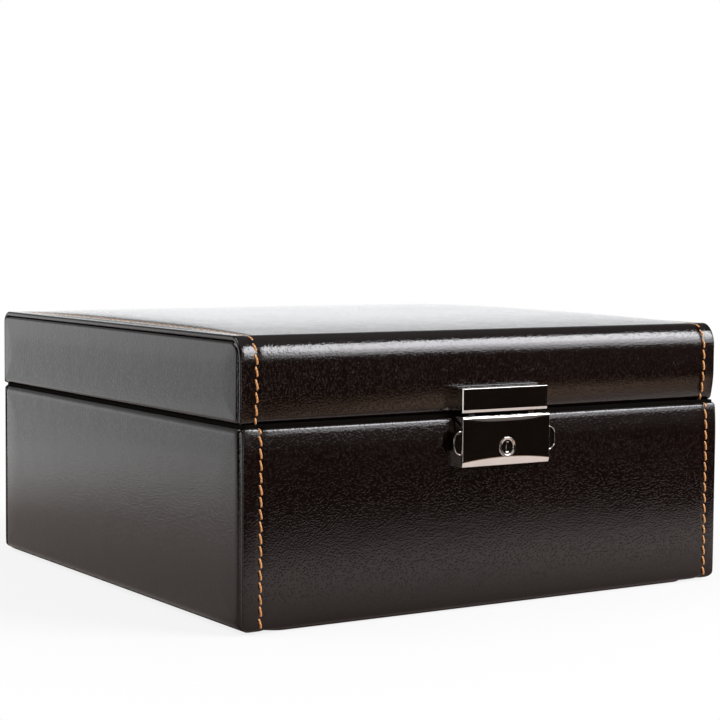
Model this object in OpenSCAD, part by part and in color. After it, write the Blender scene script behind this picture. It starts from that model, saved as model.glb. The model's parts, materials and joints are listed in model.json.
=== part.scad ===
// Display box for pocket watches: leather over wooden boards, a padded lid on two
// small hinges, a polished squeeze lock at the front, and nine suede cells inside.
// Origin: middle of the rest face. +X right, -Y front, +Z up. Millimetres.

/* [Box] */
// Width over the two padded sides
box_w = 213; // [200:1:236]
// Depth over the front and back leather
box_d = 203.5; // [190:0.5:226]
// Height to the top of the padded lid
box_h = 103; // [100:0.5:116]
// Height of the rim of the base
rim_z = 69.8; // [66:0.2:73]
// Gap between the rim of the base and the rim of the lid
seam_gap = 1.5; // [1.2:0.1:2.2]
// How far the padding lifts the middle of the lid over its edges
crown_h = 2.2; // [1:0.1:3]

/* [Walls] */
// Thickness of the leather wraps
leather_t = 1.8; // [1.5:0.1:2.2]
// Thickness of the boards in the walls
wall_t = 6; // [5.6:0.1:8]
// Thickness of the floor board and of the lid's top board
board_t = 4; // [3:0.5:5]
// Thickness of the padded side panels
side_t = 2.2; // [2:0.1:2.8]
// Width of the groove round a side panel
groove_w = 0.8; // [0.5:0.1:1.2]
// Thickness of the foam sheet at the edges of the lid
foam_t = 1.2; // [0.8:0.1:2]
// Thickness of the suede liners
liner_t = 1.5; // [1:0.1:2]
// Thickness of the suede foot sheet under the box
foot_t = 0.9; // [0.6:0.1:1.5]

/* [Edges] */
// Radius of the lid's top edge at the front
lid_front_r = 7; // [6:0.5:10]
// Radius of the lid's top edge at the back
lid_back_r = 4.5; // [4:0.1:6]
// How far the lid's front stands back from the front of the base
lid_set = 1.7; // [0:0.1:2.5]
// Radius of the bulge of the lid's front
bulge_r = 63; // [40:1:90]
// Height over the lid's rim where that bulge starts
bulge_up = 12; // [10:0.5:14]
// Radius of the rim edges of the base, front and back
rim_r = 3; // [1.5:0.1:4]
// Radius of the bottom edges of the base, front and back
bottom_r = 2.2; // [1.5:0.1:3]

/* [Inside] */
// Thickness of a divider
divider_t = 2; // [1.6:0.2:3]
// Height of the dividers over the floor liner
divider_h = 50; // [42:1:53]
// Height of a watch pad over the floor liner
pad_h = 34; // [28:1:38]
// Thickness of the cushion in the lid
cushion_t = 6; // [4:0.5:8]

/* [Lock] */
// Width of the lock case
lock_w = 39; // [38.4:0.2:44]
// Height of the lock case
lock_h = 18.4; // [18.2:0.1:20]
// How far the lock stands out from the board, through the leather
lock_proud = 6; // [5.8:0.1:7]
// How far the top of the lock case stands over the rim
lock_rise = 0.5; // [0.2:0.1:0.6]
// Gap between the lock case and the catch block
lock_gap = 1.2; // [0.9:0.1:1.6]
// Wall of the lock case
case_wall = 1.4; // [1.2:0.1:1.5]
// Bulge of the front of the lock case
case_dome = 0.7; // [0.3:0.1:0.9]
// Width of the catch block
catch_w = 38; // [36:0.5:42]
// Height of the catch block
catch_h = 9; // [8:0.5:10]
// Depth of the pocket that the catch block sits in
catch_sink = 3; // [2.8:0.1:3.4]
// Height of a side tab
tab_h = 9.1; // [8.5:0.1:9.4]
// How far a side tab stands out of the lock case
tab_out = 3.1; // [2.6:0.1:4]
// Thickness of a side tab, front to back
tab_t = 2.4; // [2:0.1:2.5]
// Travel of a side tab
tab_travel = 2; // [1.5:0.1:2.1]
// Radius of the key barrel
barrel_r = 3; // [2.6:0.1:3.1]

/* [Hinges] */
// Length of a hinge
hinge_l = 32; // [26:1:40]
// Distance of each hinge's middle from the side of the box
hinge_in = 44.5; // [35:0.5:60]
// Outer radius of a hinge knuckle
knuckle_r = 2.2; // [2:0.1:2.4]
// Radius of a hinge pin
hinge_pin_r = 0.9; // [0.7:0.05:1.1]
// Thickness of a hinge leaf
leaf_t = 1; // [0.8:0.1:1.2]

/* [Hidden] */
$fn = 96;

leather_col = [0.16, 0.11, 0.1];
suede_col = [0.42, 0.3, 0.22];
board_col = [0.72, 0.56, 0.38];
nickel_col = [0.12, 0.12, 0.13];
steel_col = [0.62, 0.62, 0.64];

far = 400;                       // longer than anything in the box
touch = 0.01;                    // overlap that makes a cut clean
slip = 0.3;                      // clearance round pieces that move
fit = 0.05;                      // radial clearance of pins and barrels

front_y = -box_d / 2;
back_y = box_d / 2;
skirt_z = foot_t;                // underside of the base's leather
lid_z = rim_z + seam_gap;        // rim of the lid
hinge_z = rim_z + seam_gap / 2;  // height of the hinge axis
edge_z = box_h - crown_h;        // top of the lid at its edges
wall_in = leather_t + wall_t;    // front or back face to the inner face of its board
side_x = box_w / 2 - side_t;     // outer face of the side boards
side_in = side_x - wall_t;       // inner face of the side boards
wrap_x = box_w / 2 - 0.3;        // side edge of the leather wraps
panel_in = leather_t + groove_w; // outline of a side panel, in from the wrap
floor_z = skirt_z + leather_t;   // underside of the floor board
floor_top = floor_z + board_t;
well_z = floor_top + liner_t;    // floor of the cells
room_x = side_in - liner_t;      // half the room inside, left to right
room_y = box_d / 2 - wall_in - liner_t;
lid_board_top = edge_z - leather_t - foam_t;
lid_board_z = lid_board_top - board_t;
lid_front_y = front_y + lid_set;
panel_lift = 0.3;                // side panel of the base above its underside
rail_y = lid_front_y + lid_front_r + 1;  // back edge of the lid's front rail

liner_gap = 0.1;                 // joint between liners at a corner
divider_slot = divider_t + 0.2;
cell_x = (2 * room_x - 2 * divider_t) / 3;
cell_y = (2 * room_y - 2 * divider_t) / 3;
divider_x = cell_x / 2 + divider_t / 2;
divider_y = cell_y / 2 + divider_t / 2;
divider_z = well_z + divider_h;
pad_clear = 0.3;
pad_corner = 3;

foot_in_x = 10.7;                // foot sheet, in from the sides
foot_in_y = 3.5;                 // foot sheet, in from the front and back
foot_corner = 8;
panel_edge_r = 1.2;              // soft edge of a side panel
wrap_corner_r = 1.5;             // corner of a wrap at the rim
crown_x = side_x - 1;            // half the width of the crown
crown_power = 4;                 // higher is flatter on top and steeper at the ends
crown_steps = 36;
wrap_foot_r = 4;                 // corner of the base's wrap at the floor

lock_y = front_y + leather_t;     // the lock is let into the leather, on the board
case_top = rim_z + lock_rise;
case_z = case_top - lock_h;
case_x = lock_w / 2;
case_in_x = case_x - case_wall;
case_in_top = case_top - case_wall;
case_in_z = case_z + case_wall;
case_front = lock_proud - 1.6;   // inside of the case's front wall
case_low_bevel = 2.7;
case_top_bevel = 1.3;
case_side_bevel = 0.5;
case_arc_r = pow(case_x, 2) / (2 * case_dome);
face_arc_r = 62;                 // bulge of the case's face, top to bottom
plate_t = 0.8;                   // back plate
catch_z = case_top + lock_gap;
catch_top = catch_z + catch_h;
catch_low_bevel = 1.3;
catch_top_bevel = 0.6;
catch_side_bevel = 0.5;

key_rise = 6.9;                  // key above the case's lower edge
tab_rise = 9.05;                 // middle of a tab above the same edge
boss_rise = 4.4;                 // lock screws above the key
key_z = case_z + key_rise;
ring_w = 0.9;
ring_rise = 0.5;
collar_s = case_front - 1.2;     // back end of the ring's collar, inside the case
barrel_flange_r = barrel_r + 0.7;
cam_r = 5.2;
cam_w = 3;
cam_t = 1.2;

tab_front = case_front - 0.2;    // front face of a tab, out from the leather
tab_back = tab_front - tab_t;
tab_mid_z = case_z + tab_rise;
tab_low = tab_mid_z - tab_h / 2;
tab_high = tab_mid_z + tab_h / 2;
tab_round = 3;
flange_t = 1.1;
flange_over = 1.1;               // flange beyond the tab, above and below
arm_t = 2.8;
upright_w = 1.8;
nose_l = 1;
nose_h = 1.6;
prong_w = 2.7;
prong_t = 1.2;
prong_front = 3.2;
prong_out = case_in_x - flange_t - tab_travel - slip;
prong_in = prong_out - prong_w;
nose_tip = prong_in - slip;
upright_out = nose_tip - nose_l;
upright_in = upright_out - upright_w;
arm_z = tab_low - flange_over;
arm_top = arm_z + arm_t;
prong_z = arm_top + 0.8;
nose_z = prong_z + 3;
notch_h = 2.6;
notch_d = 1.3;
upright_top = case_in_top - 0.7;
tongue_top = catch_z + catch_h - 2;
tongue_hole_z = catch_z + catch_h / 2;
tongue_hole_x = 9;

post_w = 2.4;                    // post between the two springs
spring_z = case_in_top - 2.4;
post_low = spring_z - 2.1;
spring_mid_s = (tab_front + tab_back) / 2;
spring_r = 1.1;
spring_wire_r = 0.2;
spring_turns = 5;
boss_x = 4.9;
boss_z = key_z + boss_rise;
boss_r = 1.3;
screw_r = 0.75;
screw_hole_r = 0.85;
screw_head_r = 2;
screw_head_t = 1.3;
screw_sink = 1.5;
lock_screw_l = wall_in - screw_sink - leather_t + 3.2;
catch_screw_l = wall_in - screw_sink - leather_t + 4.2;

hinge_x = box_w / 2 - hinge_in;
knuckle_gap = 0.2;
knuckle_clear = 0.3;
mid_knuckle = hinge_l * 0.45;
leaf_y = back_y - leather_t - wall_t * 0.8;
hinge_screw_y = back_y - leather_t - wall_t / 2;
hinge_screw_end = 5;             // hinge screw in from the end of its leaf
hinge_screw_dx = hinge_l / 2 - hinge_screw_end;
hinge_screw_r = 0.8;
hinge_head_r = 1.6;
hinge_screw_l = 8;

// ---- drawing planes -------------------------------------------------------

// A (y, z) shape run along X
module along_x(x0, x1) {
    translate([x0, 0, 0]) rotate([90, 0, 90]) linear_extrude(x1 - x0) children();
}

// A (x, z) shape run along Y
module along_y(y0, y1) {
    translate([0, y1, 0]) rotate([90, 0, 0]) linear_extrude(y1 - y0) children();
}

// An (x, y) shape run along Z
module along_z(z0, z1) {
    translate([0, 0, z0]) linear_extrude(z1 - z0) children();
}

// Box between two corners
module block(low, high) {
    translate(low) cube(high - low);
}

// Cylinder along Y between two places
module rod_y(x, z, y0, y1, r) {
    translate([x, y1, z]) rotate([90, 0, 0]) cylinder(h = y1 - y0, r = r, $fn = 48);
}

// Copy on the right side as well as on the left
module both_sides() {
    children();
    mirror([1, 0, 0]) children();
}

// What a round of radius r takes off one corner of a flat shape
module corner_waste(a, b, sign_a, sign_b, r) {
    if (r > 0)
        translate([a, b]) mirror([sign_a < 0 ? 1 : 0, 0]) mirror([0, sign_b < 0 ? 1 : 0])
            difference() {
                translate([-touch, -touch]) square(r + touch);
                translate([r, r]) circle(r);
            }
}

// Rectangle with its own radius at each corner:
// low-low, high-low, high-high, low-high
module soft_rect(a0, b0, a1, b1, r) {
    difference() {
        translate([a0, b0]) square([a1 - a0, b1 - b0]);
        corner_waste(a0, b0, 1, 1, r[0]);
        corner_waste(a1, b0, -1, 1, r[1]);
        corner_waste(a1, b1, -1, -1, r[2]);
        corner_waste(a0, b1, 1, -1, r[3]);
    }
}

// Padded swell that rises by h between a0 and a1 at height b: steep near its ends
module crown_segment(a0, a1, b, h) {
    middle = (a0 + a1) / 2;
    half = (a1 - a0) / 2;
    swell = [for (i = [0:crown_steps])
        let (t = 1 - 2 * i / crown_steps)
        [middle + half * t, b + h * (1 - pow(abs(t), crown_power))]];
    polygon(concat([[a0, b - touch], [a1, b - touch]], swell));
}

// ---- outlines seen from the side ------------------------------------------

// Outline of the base, drawn in by inset but for its rim, which is at top
module base_outline(inset, top, top_r) {
    low_r = bottom_r - inset;
    soft_rect(front_y + inset, skirt_z + inset, back_y - inset, top,
              [low_r, low_r, top_r, top_r]);
}

// Outline of the lid, drawn in by inset but for its rim, which is at low
module lid_outline(inset, low) {
    lip_r = 1.5;
    intersection() {
        soft_rect(lid_front_y + inset, low, back_y - inset, edge_z - inset,
                  [lip_r, 1, lid_back_r - inset, lid_front_r - inset]);
        union() {
            translate([lid_front_y + bulge_r, lid_z + bulge_up]) circle(bulge_r - inset, $fn = 240);
            translate([lid_front_y, lid_z + bulge_up]) square([far, far]);
            translate([lid_front_y + bulge_r, 0]) square([far, far]);
        }
    }
}

// Lid outline with the crown of the padding on top
module crowned_outline(inset) {
    lid_outline(inset, lid_z);
    crown_segment(lid_front_y + lid_front_r, back_y - lid_back_r, edge_z - inset, crown_h);
}

// The same crown seen from the front, over an outline that is half_w wide each way
module crowned_front(half_w, low, inset, corner_r) {
    soft_rect(-half_w, low, half_w, edge_z - inset, [corner_r, corner_r, 0, 0]);
    crown_segment(-crown_x, crown_x, edge_z - inset, crown_h);
}

// ---- cuts shared by several pieces ----------------------------------------

// Cut that ends the turned-in flanges of a wrap at the side boards, clear of the side panels
module flange_ends(y0, z0, z1) {
    both_sides() {
        block([-far, y0 + leather_t, z0], [-side_x, back_y - leather_t, z1]);
    }
}

// Room for both hinges: a leaf sunk into the rim at z0, and the knuckles
module hinge_room(z0, z1) {
    both_sides() {
        translate([-hinge_x, 0, 0]) {
            block([-hinge_l / 2 - 0.15, leaf_y - 0.15, z0],
                  [hinge_l / 2 + 0.15, back_y + 1, z1]);
            translate([-hinge_l / 2 - 0.3, back_y, hinge_z]) rotate([0, 90, 0])
                cylinder(h = hinge_l + 0.6, r = knuckle_r + knuckle_clear);
        }
    }
}

// Holes for the hinge screws, from the rim into the board
module hinge_screw_holes(z0, z1, r) {
    both_sides() {
        for (dx = [-hinge_screw_dx, hinge_screw_dx])
            translate([-hinge_x + dx, hinge_screw_y, z0]) cylinder(h = z1 - z0, r = r, $fn = 32);
    }
}

// Holes for screws that run forward from inside a front board
module front_screw_holes(x, z, head_r) {
    for (side = [-1, 1]) {
        rod_y(side * x, z, front_y - far / 10, front_y + wall_in + touch, screw_hole_r);
        rod_y(side * x, z, front_y + wall_in - screw_sink, front_y + wall_in + touch, head_r);
    }
}

// ---- base -----------------------------------------------------------------

module foot_sheet() {
    color(suede_col)
        along_z(0, foot_t)
            soft_rect(-box_w / 2 + foot_in_x, front_y + foot_in_y,
                      box_w / 2 - foot_in_x, back_y - foot_in_y,
                      [foot_corner, foot_corner, foot_corner, foot_corner]);
}

module base_floor_board() {
    color(board_col)
        block([-side_x, front_y + leather_t, floor_z], [side_x, back_y - leather_t, floor_top]);
}

module base_front_board() {
    color(board_col)
        difference() {
            block([-side_x, front_y + leather_t, floor_top],
                  [side_x, front_y + wall_in, rim_z - leather_t]);
            front_screw_holes(boss_x, boss_z, screw_head_r + 0.1);
        }
}

module base_back_board() {
    color(board_col)
        difference() {
            block([-side_x, back_y - wall_in, floor_top],
                  [side_x, back_y - leather_t, rim_z - leather_t]);
            hinge_room(rim_z - leaf_t, rim_z + 1);
            hinge_screw_holes(rim_z - hinge_screw_l - 1, rim_z, hinge_screw_r + fit);
        }
}

module base_side_board() {
    color(board_col)
        block([-side_x, front_y + wall_in, floor_top],
              [-side_in, back_y - wall_in, rim_z - leather_t]);
}

module base_cover() {
    color(leather_col)
        difference() {
            intersection() {
                along_x(-wrap_x, wrap_x) base_outline(0, rim_z, rim_r);
                along_y(front_y - 1, back_y + 1)
                    soft_rect(-wrap_x, skirt_z, wrap_x, rim_z,
                              [wrap_foot_r, wrap_foot_r, wrap_corner_r, wrap_corner_r]);
            }
            along_x(-far, far) {
                translate([front_y + leather_t, floor_z])
                    square([box_d - 2 * leather_t, rim_z - leather_t - floor_z]);
                translate([front_y + wall_in, floor_z]) square([box_d - 2 * wall_in, far]);
            }
            flange_ends(front_y, rim_z - leather_t, rim_z + 1);
            flange_ends(front_y, 0, floor_z);
            // the leather is cut away behind the lock case
            block([-case_x - slip, front_y - 1, case_z - slip],
                  [case_x + slip, front_y + leather_t, rim_z + 1]);
            hinge_room(rim_z - leaf_t, rim_z + 1);
            hinge_screw_holes(rim_z - 3, rim_z, hinge_screw_r + fit);
            front_screw_holes(boss_x, boss_z, screw_hole_r);
        }
}

// Padded panel of one side, with the tongue of leather over the rim of its board
module base_side_panel() {
    color(leather_col) {
        along_x(-box_w / 2, -box_w / 2 + side_t)
            soft_rect(front_y + panel_in, skirt_z + panel_lift, back_y - panel_in, rim_z,
                      [panel_edge_r, panel_edge_r, panel_edge_r, panel_edge_r]);
        block([-side_x - touch, front_y + wall_in, rim_z - leather_t],
              [-side_in, back_y - wall_in, rim_z]);
    }
}

module base_floor_liner() {
    color(suede_col)
        block([-side_in, front_y + wall_in, floor_top], [side_in, back_y - wall_in, well_z]);
}

// Four liner panels against the inner faces of the walls
module wall_liners(z0, z1) {
    color(suede_col)
        difference() {
            block([-side_in, front_y + wall_in, z0], [side_in, back_y - wall_in, z1]);
            block([-room_x, -room_y, z0 - 1], [room_x, room_y, z1 + 1]);
            for (sx = [-1, 1], sy = [-1, 1])
                translate([sx * (room_x + liner_gap / 2), sy * (room_y + liner_t / 2), (z0 + z1) / 2])
                    cube([liner_gap, liner_t + 2 * touch, z1 - z0 + 1], center = true);
        }
}

// Divider from left to right, with open slots from above
module long_divider(y) {
    color(suede_col)
        difference() {
            block([-room_x, y - divider_t / 2, well_z], [room_x, y + divider_t / 2, divider_z]);
            for (x = [-divider_x, divider_x])
                block([x - divider_slot / 2, y - divider_t, well_z + divider_h / 2],
                      [x + divider_slot / 2, y + divider_t, divider_z + 1]);
        }
}

// Divider from front to back, with open slots from below
module cross_divider(x) {
    color(suede_col)
        difference() {
            block([x - divider_t / 2, -room_y, well_z], [x + divider_t / 2, room_y, divider_z]);
            for (y = [-divider_y, divider_y])
                block([x - divider_t, y - divider_slot / 2, well_z - 1],
                      [x + divider_t, y + divider_slot / 2, well_z + divider_h / 2]);
        }
}

// Foam pad of one cell, covered in suede, that a watch lies on
module watch_pad(column, row) {
    half_x = cell_x / 2 - pad_clear;
    half_y = cell_y / 2 - pad_clear;
    color(suede_col)
        translate([column * (cell_x + divider_t), row * (cell_y + divider_t), well_z])
            linear_extrude(pad_h)
                soft_rect(-half_x, -half_y, half_x, half_y,
                          [pad_corner, pad_corner, pad_corner, pad_corner]);
}

// ---- lock -----------------------------------------------------------------

// Front half of a lock piece between two heights, seen from the side, as (y, z)
module lock_section(z0, z1, low_bevel, top_bevel, back) {
    polygon([
        [lock_y + back, z0], [lock_y - lock_proud + low_bevel, z0],
        [lock_y - lock_proud, z0 + low_bevel], [lock_y - lock_proud, z1 - top_bevel],
        [lock_y - lock_proud + top_bevel, z1], [lock_y + back, z1]
    ]);
}

// Lock piece seen from above, as (x, y)
module lock_plan(half_w, bevel, back) {
    polygon([
        [-half_w, lock_y + back], [-half_w, lock_y - lock_proud + bevel],
        [-half_w + bevel, lock_y - lock_proud], [half_w - bevel, lock_y - lock_proud],
        [half_w, lock_y - lock_proud + bevel], [half_w, lock_y + back]
    ]);
}

// Outer form of the lock case: bevelled, with a face that bulges both ways
module case_form() {
    intersection() {
        along_x(-case_x, case_x)
            intersection() {
                lock_section(case_z, case_top, case_low_bevel, case_top_bevel, 0);
                translate([lock_y - lock_proud + face_arc_r, case_z + lock_h * 0.45])
                    circle(face_arc_r, $fn = 240);
            }
        along_z(case_z - 1, case_top + 1)
            intersection() {
                lock_plan(case_x, case_side_bevel + case_dome, 0);
                translate([0, lock_y - lock_proud + case_arc_r]) circle(case_arc_r, $fn = 240);
            }
    }
}

// Room inside the case, seen from the side: its low front edge follows the bevel
module case_room() {
    room_bevel = case_low_bevel - 0.7;
    polygon([
        [lock_y + touch, case_in_z], [lock_y - case_front + room_bevel, case_in_z],
        [lock_y - case_front, case_in_z + room_bevel], [lock_y - case_front, case_in_top],
        [lock_y + touch, case_in_top]
    ]);
}

module lock_case() {
    color(nickel_col)
        difference() {
            union() {
                difference() {
                    case_form();
                    along_x(-case_in_x, case_in_x) case_room();
                }
                // ring round the key barrel
                rod_y(0, key_z, lock_y - lock_proud - ring_rise, lock_y - collar_s,
                      barrel_r + ring_w);
                // post between the springs
                block([-post_w / 2, lock_y - case_front - touch, post_low],
                      [post_w / 2, lock_y - plate_t, case_in_top + touch]);
                // bosses for the screws
                for (x = [-boss_x, boss_x])
                    rod_y(x, boss_z, lock_y - case_front - touch, lock_y - plate_t, boss_r);
            }
            rod_y(0, key_z, lock_y - far / 10, lock_y, barrel_r);
            both_sides() {
                // way in for a prong of the catch tongue
                block([-prong_out - slip, lock_y - prong_front - 0.5, case_in_top - touch],
                      [-prong_in + slip, lock_y - prong_front + prong_t + 0.4, case_top + 1]);
                // window for a side tab
                block([-case_x - 1, lock_y - case_front, tab_low - slip],
                      [-case_in_x + touch, lock_y - tab_back + slip, tab_high + slip]);
            }
            for (x = [-boss_x, boss_x])
                rod_y(x, boss_z, lock_y - 3.4, lock_y + 1, screw_hole_r);
        }
}

module lock_back_plate() {
    color(steel_col)
        difference() {
            block([-case_in_x, lock_y - plate_t, case_in_z],
                  [case_in_x, lock_y, case_in_top]);
            for (x = [-boss_x, boss_x])
                rod_y(x, boss_z, lock_y - 2, lock_y + 1, screw_hole_r);
        }
}

// Screw along Y: head at head_y, point towards the front
module front_screw(x, z, length) {
    head_y = front_y + wall_in - screw_sink;
    rod_y(x, z, head_y, head_y + screw_head_t, screw_head_r);
    rod_y(x, z, front_y + wall_in - screw_sink - length, head_y + touch, screw_r);
}

module lock_screws() {
    color(steel_col)
        for (x = [-boss_x, boss_x])
            front_screw(x, boss_z, lock_screw_l);
}

module key_barrel() {
    turn_r = barrel_r - fit;
    face_s = lock_proud + 0.2;
    cam_back = plate_t + 0.4;
    color(nickel_col)
        difference() {
            union() {
                rod_y(0, key_z, lock_y - face_s, lock_y - cam_back - cam_t, turn_r);
                rod_y(0, key_z, lock_y - collar_s + 0.1, lock_y - cam_back - cam_t,
                      barrel_flange_r);
                rod_y(0, key_z, lock_y - cam_back - cam_t, lock_y - plate_t, 1.5);
                // cam, upright while the lock is open
                along_y(lock_y - cam_back - cam_t, lock_y - cam_back)
                    intersection() {
                        translate([0, key_z]) circle(cam_r);
                        translate([-cam_w / 2, key_z]) square([cam_w, cam_r]);
                    }
            }
            // plain key slot
            rod_y(0, key_z, lock_y - face_s - 1, lock_y - face_s + 2.4, 0.8);
            block([-0.4, lock_y - face_s - 1, key_z - 1.9],
                  [0.4, lock_y - face_s + 2.4, key_z + 1.9]);
        }
}

// Squeeze tab of the left side, with its stop flange, arm, upright and nose
module side_tab() {
    color(nickel_col)
        translate([0, lock_y - tab_front, 0]) {
            along_y(0, tab_t)
                soft_rect(-case_x - tab_out, tab_low, -case_in_x + flange_t / 2, tab_high,
                          [tab_round, 0, 0, tab_round]);
            block([-case_in_x, 0, arm_z], [-case_in_x + flange_t, tab_t, tab_high + flange_over]);
            block([-case_in_x, 0, arm_z], [-upright_in, tab_t, arm_top]);
            block([-upright_out, 0, arm_z], [-upright_in, tab_t, upright_top]);
            block([-nose_tip, tab_front - prong_front + 0.1, nose_z],
                  [-upright_out + touch, tab_front - prong_front + 1.1, nose_z + nose_h]);
        }
}

// Point i of n round the wire of the left spring at turn angle a
function spring_point(a, i, n) =
    let (run = upright_in - post_w / 2 - 2 * spring_wire_r,
         r = spring_r + spring_wire_r * cos(360 * i / n))
    [-post_w / 2 - spring_wire_r - run * a / (360 * spring_turns)
         + spring_wire_r * sin(360 * i / n),
     lock_y - spring_mid_s + r * cos(a), spring_z + r * sin(a)];

// Coil spring of the left tab: one unbroken wire
module tab_spring() {
    sides = 6;
    rings = spring_turns * 12;
    points = [for (k = [0:rings], i = [0:sides - 1])
        spring_point(360 * spring_turns * k / rings, i, sides)];
    walls = [for (k = [0:rings - 1], i = [0:sides - 1], half = [0, 1])
        let (j = (i + 1) % sides, a = k * sides, b = a + sides)
        half == 0 ? [a + i, a + j, b + j] : [a + i, b + j, b + i]];
    start = [for (i = [1:sides - 2]) [0, i + 1, i]];
    end = [for (i = [1:sides - 2]) rings * sides * [1, 1, 1] + [0, i, i + 1]];
    color(steel_col) polyhedron(points, concat(walls, start, end));
}

// ---- lid ------------------------------------------------------------------

// Inner face of the lid's leather as a solid between two widths
module lid_core(x0, x1) {
    along_x(x0, x1) lid_outline(leather_t, lid_z);
}

module lid_top_board() {
    color(board_col)
        block([-side_x, rail_y, lid_board_z], [side_x, back_y - wall_in, lid_board_top]);
}

module lid_front_board() {
    color(board_col)
        difference() {
            intersection() {
                lid_core(-side_x, side_x);
                block([-side_x, front_y, lid_z + leather_t], [side_x, rail_y, far]);
            }
            block([-far, front_y + wall_in, 0], [far, far, lid_board_z]);
            catch_pocket();
            front_screw_holes(tongue_hole_x, tongue_hole_z, screw_head_r + 0.1);
        }
}

module lid_back_board() {
    color(board_col)
        difference() {
            intersection() {
                lid_core(-side_x, side_x);
                block([-side_x, back_y - wall_in, lid_z + leather_t], [side_x, back_y, far]);
            }
            hinge_room(lid_z - 1, lid_z + leaf_t);
            hinge_screw_holes(lid_z, lid_z + hinge_screw_l + 1, hinge_screw_r + fit);
        }
}

module lid_side_board() {
    color(board_col)
        block([-side_x, front_y + wall_in, lid_z + leather_t],
              [-side_in, back_y - wall_in, lid_board_z]);
}

// Foam sheet that fills the crown between the top board and the leather
module lid_foam() {
    color("khaki")
        intersection() {
            along_x(-side_x, side_x) crowned_outline(leather_t);
            along_y(rail_y, back_y - wall_in)
                crowned_front(side_x, lid_board_top, leather_t, 0);
        }
}

// Pocket for the catch block, open towards the front and below
module catch_pocket() {
    block([-catch_w / 2, lock_y - lock_proud - 1, lid_z - 1],
          [catch_w / 2, lock_y + catch_sink, catch_top]);
}

module lid_cover() {
    color(leather_col)
        difference() {
            intersection() {
                along_x(-wrap_x, wrap_x) crowned_outline(0);
                along_y(front_y - 1, back_y + 1)
                    crowned_front(wrap_x, lid_z, 0, wrap_corner_r);
            }
            // the boards and the foam
            intersection() {
                along_x(-box_w, box_w) crowned_outline(leather_t);
                along_y(front_y, back_y)
                    crowned_front(box_w, lid_z + leather_t, leather_t, 0);
            }
            // the open underside
            block([-far, front_y + wall_in, 0], [far, back_y - wall_in, lid_board_z]);
            catch_pocket();
            flange_ends(lid_front_y, lid_z - 1, lid_z + leather_t);
            hinge_room(lid_z - 1, lid_z + leaf_t);
            hinge_screw_holes(lid_z - 1, lid_z + 3, hinge_screw_r + fit);
        }
}

module lid_side_panel() {
    color(leather_col) {
        along_x(-box_w / 2, -box_w / 2 + side_t) lid_outline(panel_in, lid_z);
        block([-side_x - touch, front_y + wall_in, lid_z],
              [-side_in, back_y - wall_in, lid_z + leather_t]);
    }
}

module lid_cushion() {
    edge = 0.3;
    color(suede_col)
        block([-room_x + edge, -room_y + edge, lid_board_z - cushion_t],
              [room_x - edge, room_y - edge, lid_board_z]);
}

module catch_block() {
    color(nickel_col)
        difference() {
            intersection() {
                along_x(-catch_w / 2, catch_w / 2)
                    lock_section(catch_z, catch_top, catch_low_bevel, catch_top_bevel, catch_sink);
                along_z(catch_z - 1, catch_top + 1)
                    lock_plan(catch_w / 2, catch_side_bevel, catch_sink);
            }
            // slot for the tongue, open below
            block([-prong_out, lock_y - prong_front, catch_z - 1],
                  [prong_out, lock_y - prong_front + prong_t, tongue_top]);
            for (x = [-tongue_hole_x, tongue_hole_x])
                rod_y(x, tongue_hole_z, lock_y - case_front, lock_y + far / 10, screw_hole_r);
        }
}

// Flat steel tongue: a bridge in the catch block and two notched prongs
module catch_tongue() {
    color(steel_col)
        along_y(lock_y - prong_front, lock_y - prong_front + prong_t)
            difference() {
                union() {
                    translate([-prong_out, catch_z + 0.6])
                        square([2 * prong_out, tongue_top - catch_z - 0.6]);
                    for (x = [-prong_out, prong_in])
                        translate([x, prong_z]) square([prong_w, tongue_top - prong_z]);
                }
                for (x = [-prong_in - notch_d, prong_in - touch])
                    translate([x, nose_z - 0.5]) square([notch_d + touch, notch_h]);
                for (x = [-tongue_hole_x, tongue_hole_x])
                    translate([x, tongue_hole_z]) circle(screw_hole_r, $fn = 32);
            }
}

module catch_screws() {
    color(steel_col)
        for (x = [-tongue_hole_x, tongue_hole_x])
            front_screw(x, tongue_hole_z, catch_screw_l);
}

// ---- hinges ---------------------------------------------------------------

// Knuckle of a hinge from x0 to x1, round the hinge axis
module knuckle(x0, x1) {
    translate([x0, back_y, hinge_z]) rotate([0, 90, 0]) cylinder(h = x1 - x0, r = knuckle_r);
}

// One leaf at x = 0 between heights z0 and z1, with knuckles at the given spans
module hinge_leaf(z0, z1, spans, head_z, head_way) {
    plate_back = back_y - knuckle_r - knuckle_clear;
    color(steel_col)
        difference() {
            union() {
                block([-hinge_l / 2, leaf_y, z0], [hinge_l / 2, plate_back, z1]);
                for (s = spans) {
                    block([s[0], leaf_y, z0], [s[1], back_y - 1, z1]);
                    knuckle(s[0], s[1]);
                }
            }
            translate([-hinge_l, back_y, hinge_z]) rotate([0, 90, 0])
                cylinder(h = 2 * hinge_l, r = hinge_pin_r + fit, $fn = 48);
            for (dx = [-hinge_screw_dx, hinge_screw_dx])
                translate([dx, hinge_screw_y, head_z]) screw_cone(head_way);
        }
}

// Countersunk head and a short run of shank, point along head_way * Z
module screw_cone(head_way) {
    mirror([0, 0, head_way > 0 ? 0 : 1]) {
        cylinder(h = leaf_t * 0.8, r1 = hinge_head_r + fit, r2 = hinge_screw_r + fit, $fn = 32);
        translate([0, 0, -touch]) cylinder(h = leaf_t + 1, r = hinge_screw_r + fit, $fn = 32);
    }
}

base_spans = [
    [-hinge_l / 2, -mid_knuckle / 2 - knuckle_gap],
    [mid_knuckle / 2 + knuckle_gap, hinge_l / 2]
];
lid_spans = [[-mid_knuckle / 2, mid_knuckle / 2]];

module base_leaf(x) {
    translate([x, 0, 0]) hinge_leaf(rim_z - leaf_t, rim_z, base_spans, rim_z, -1);
}

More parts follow.
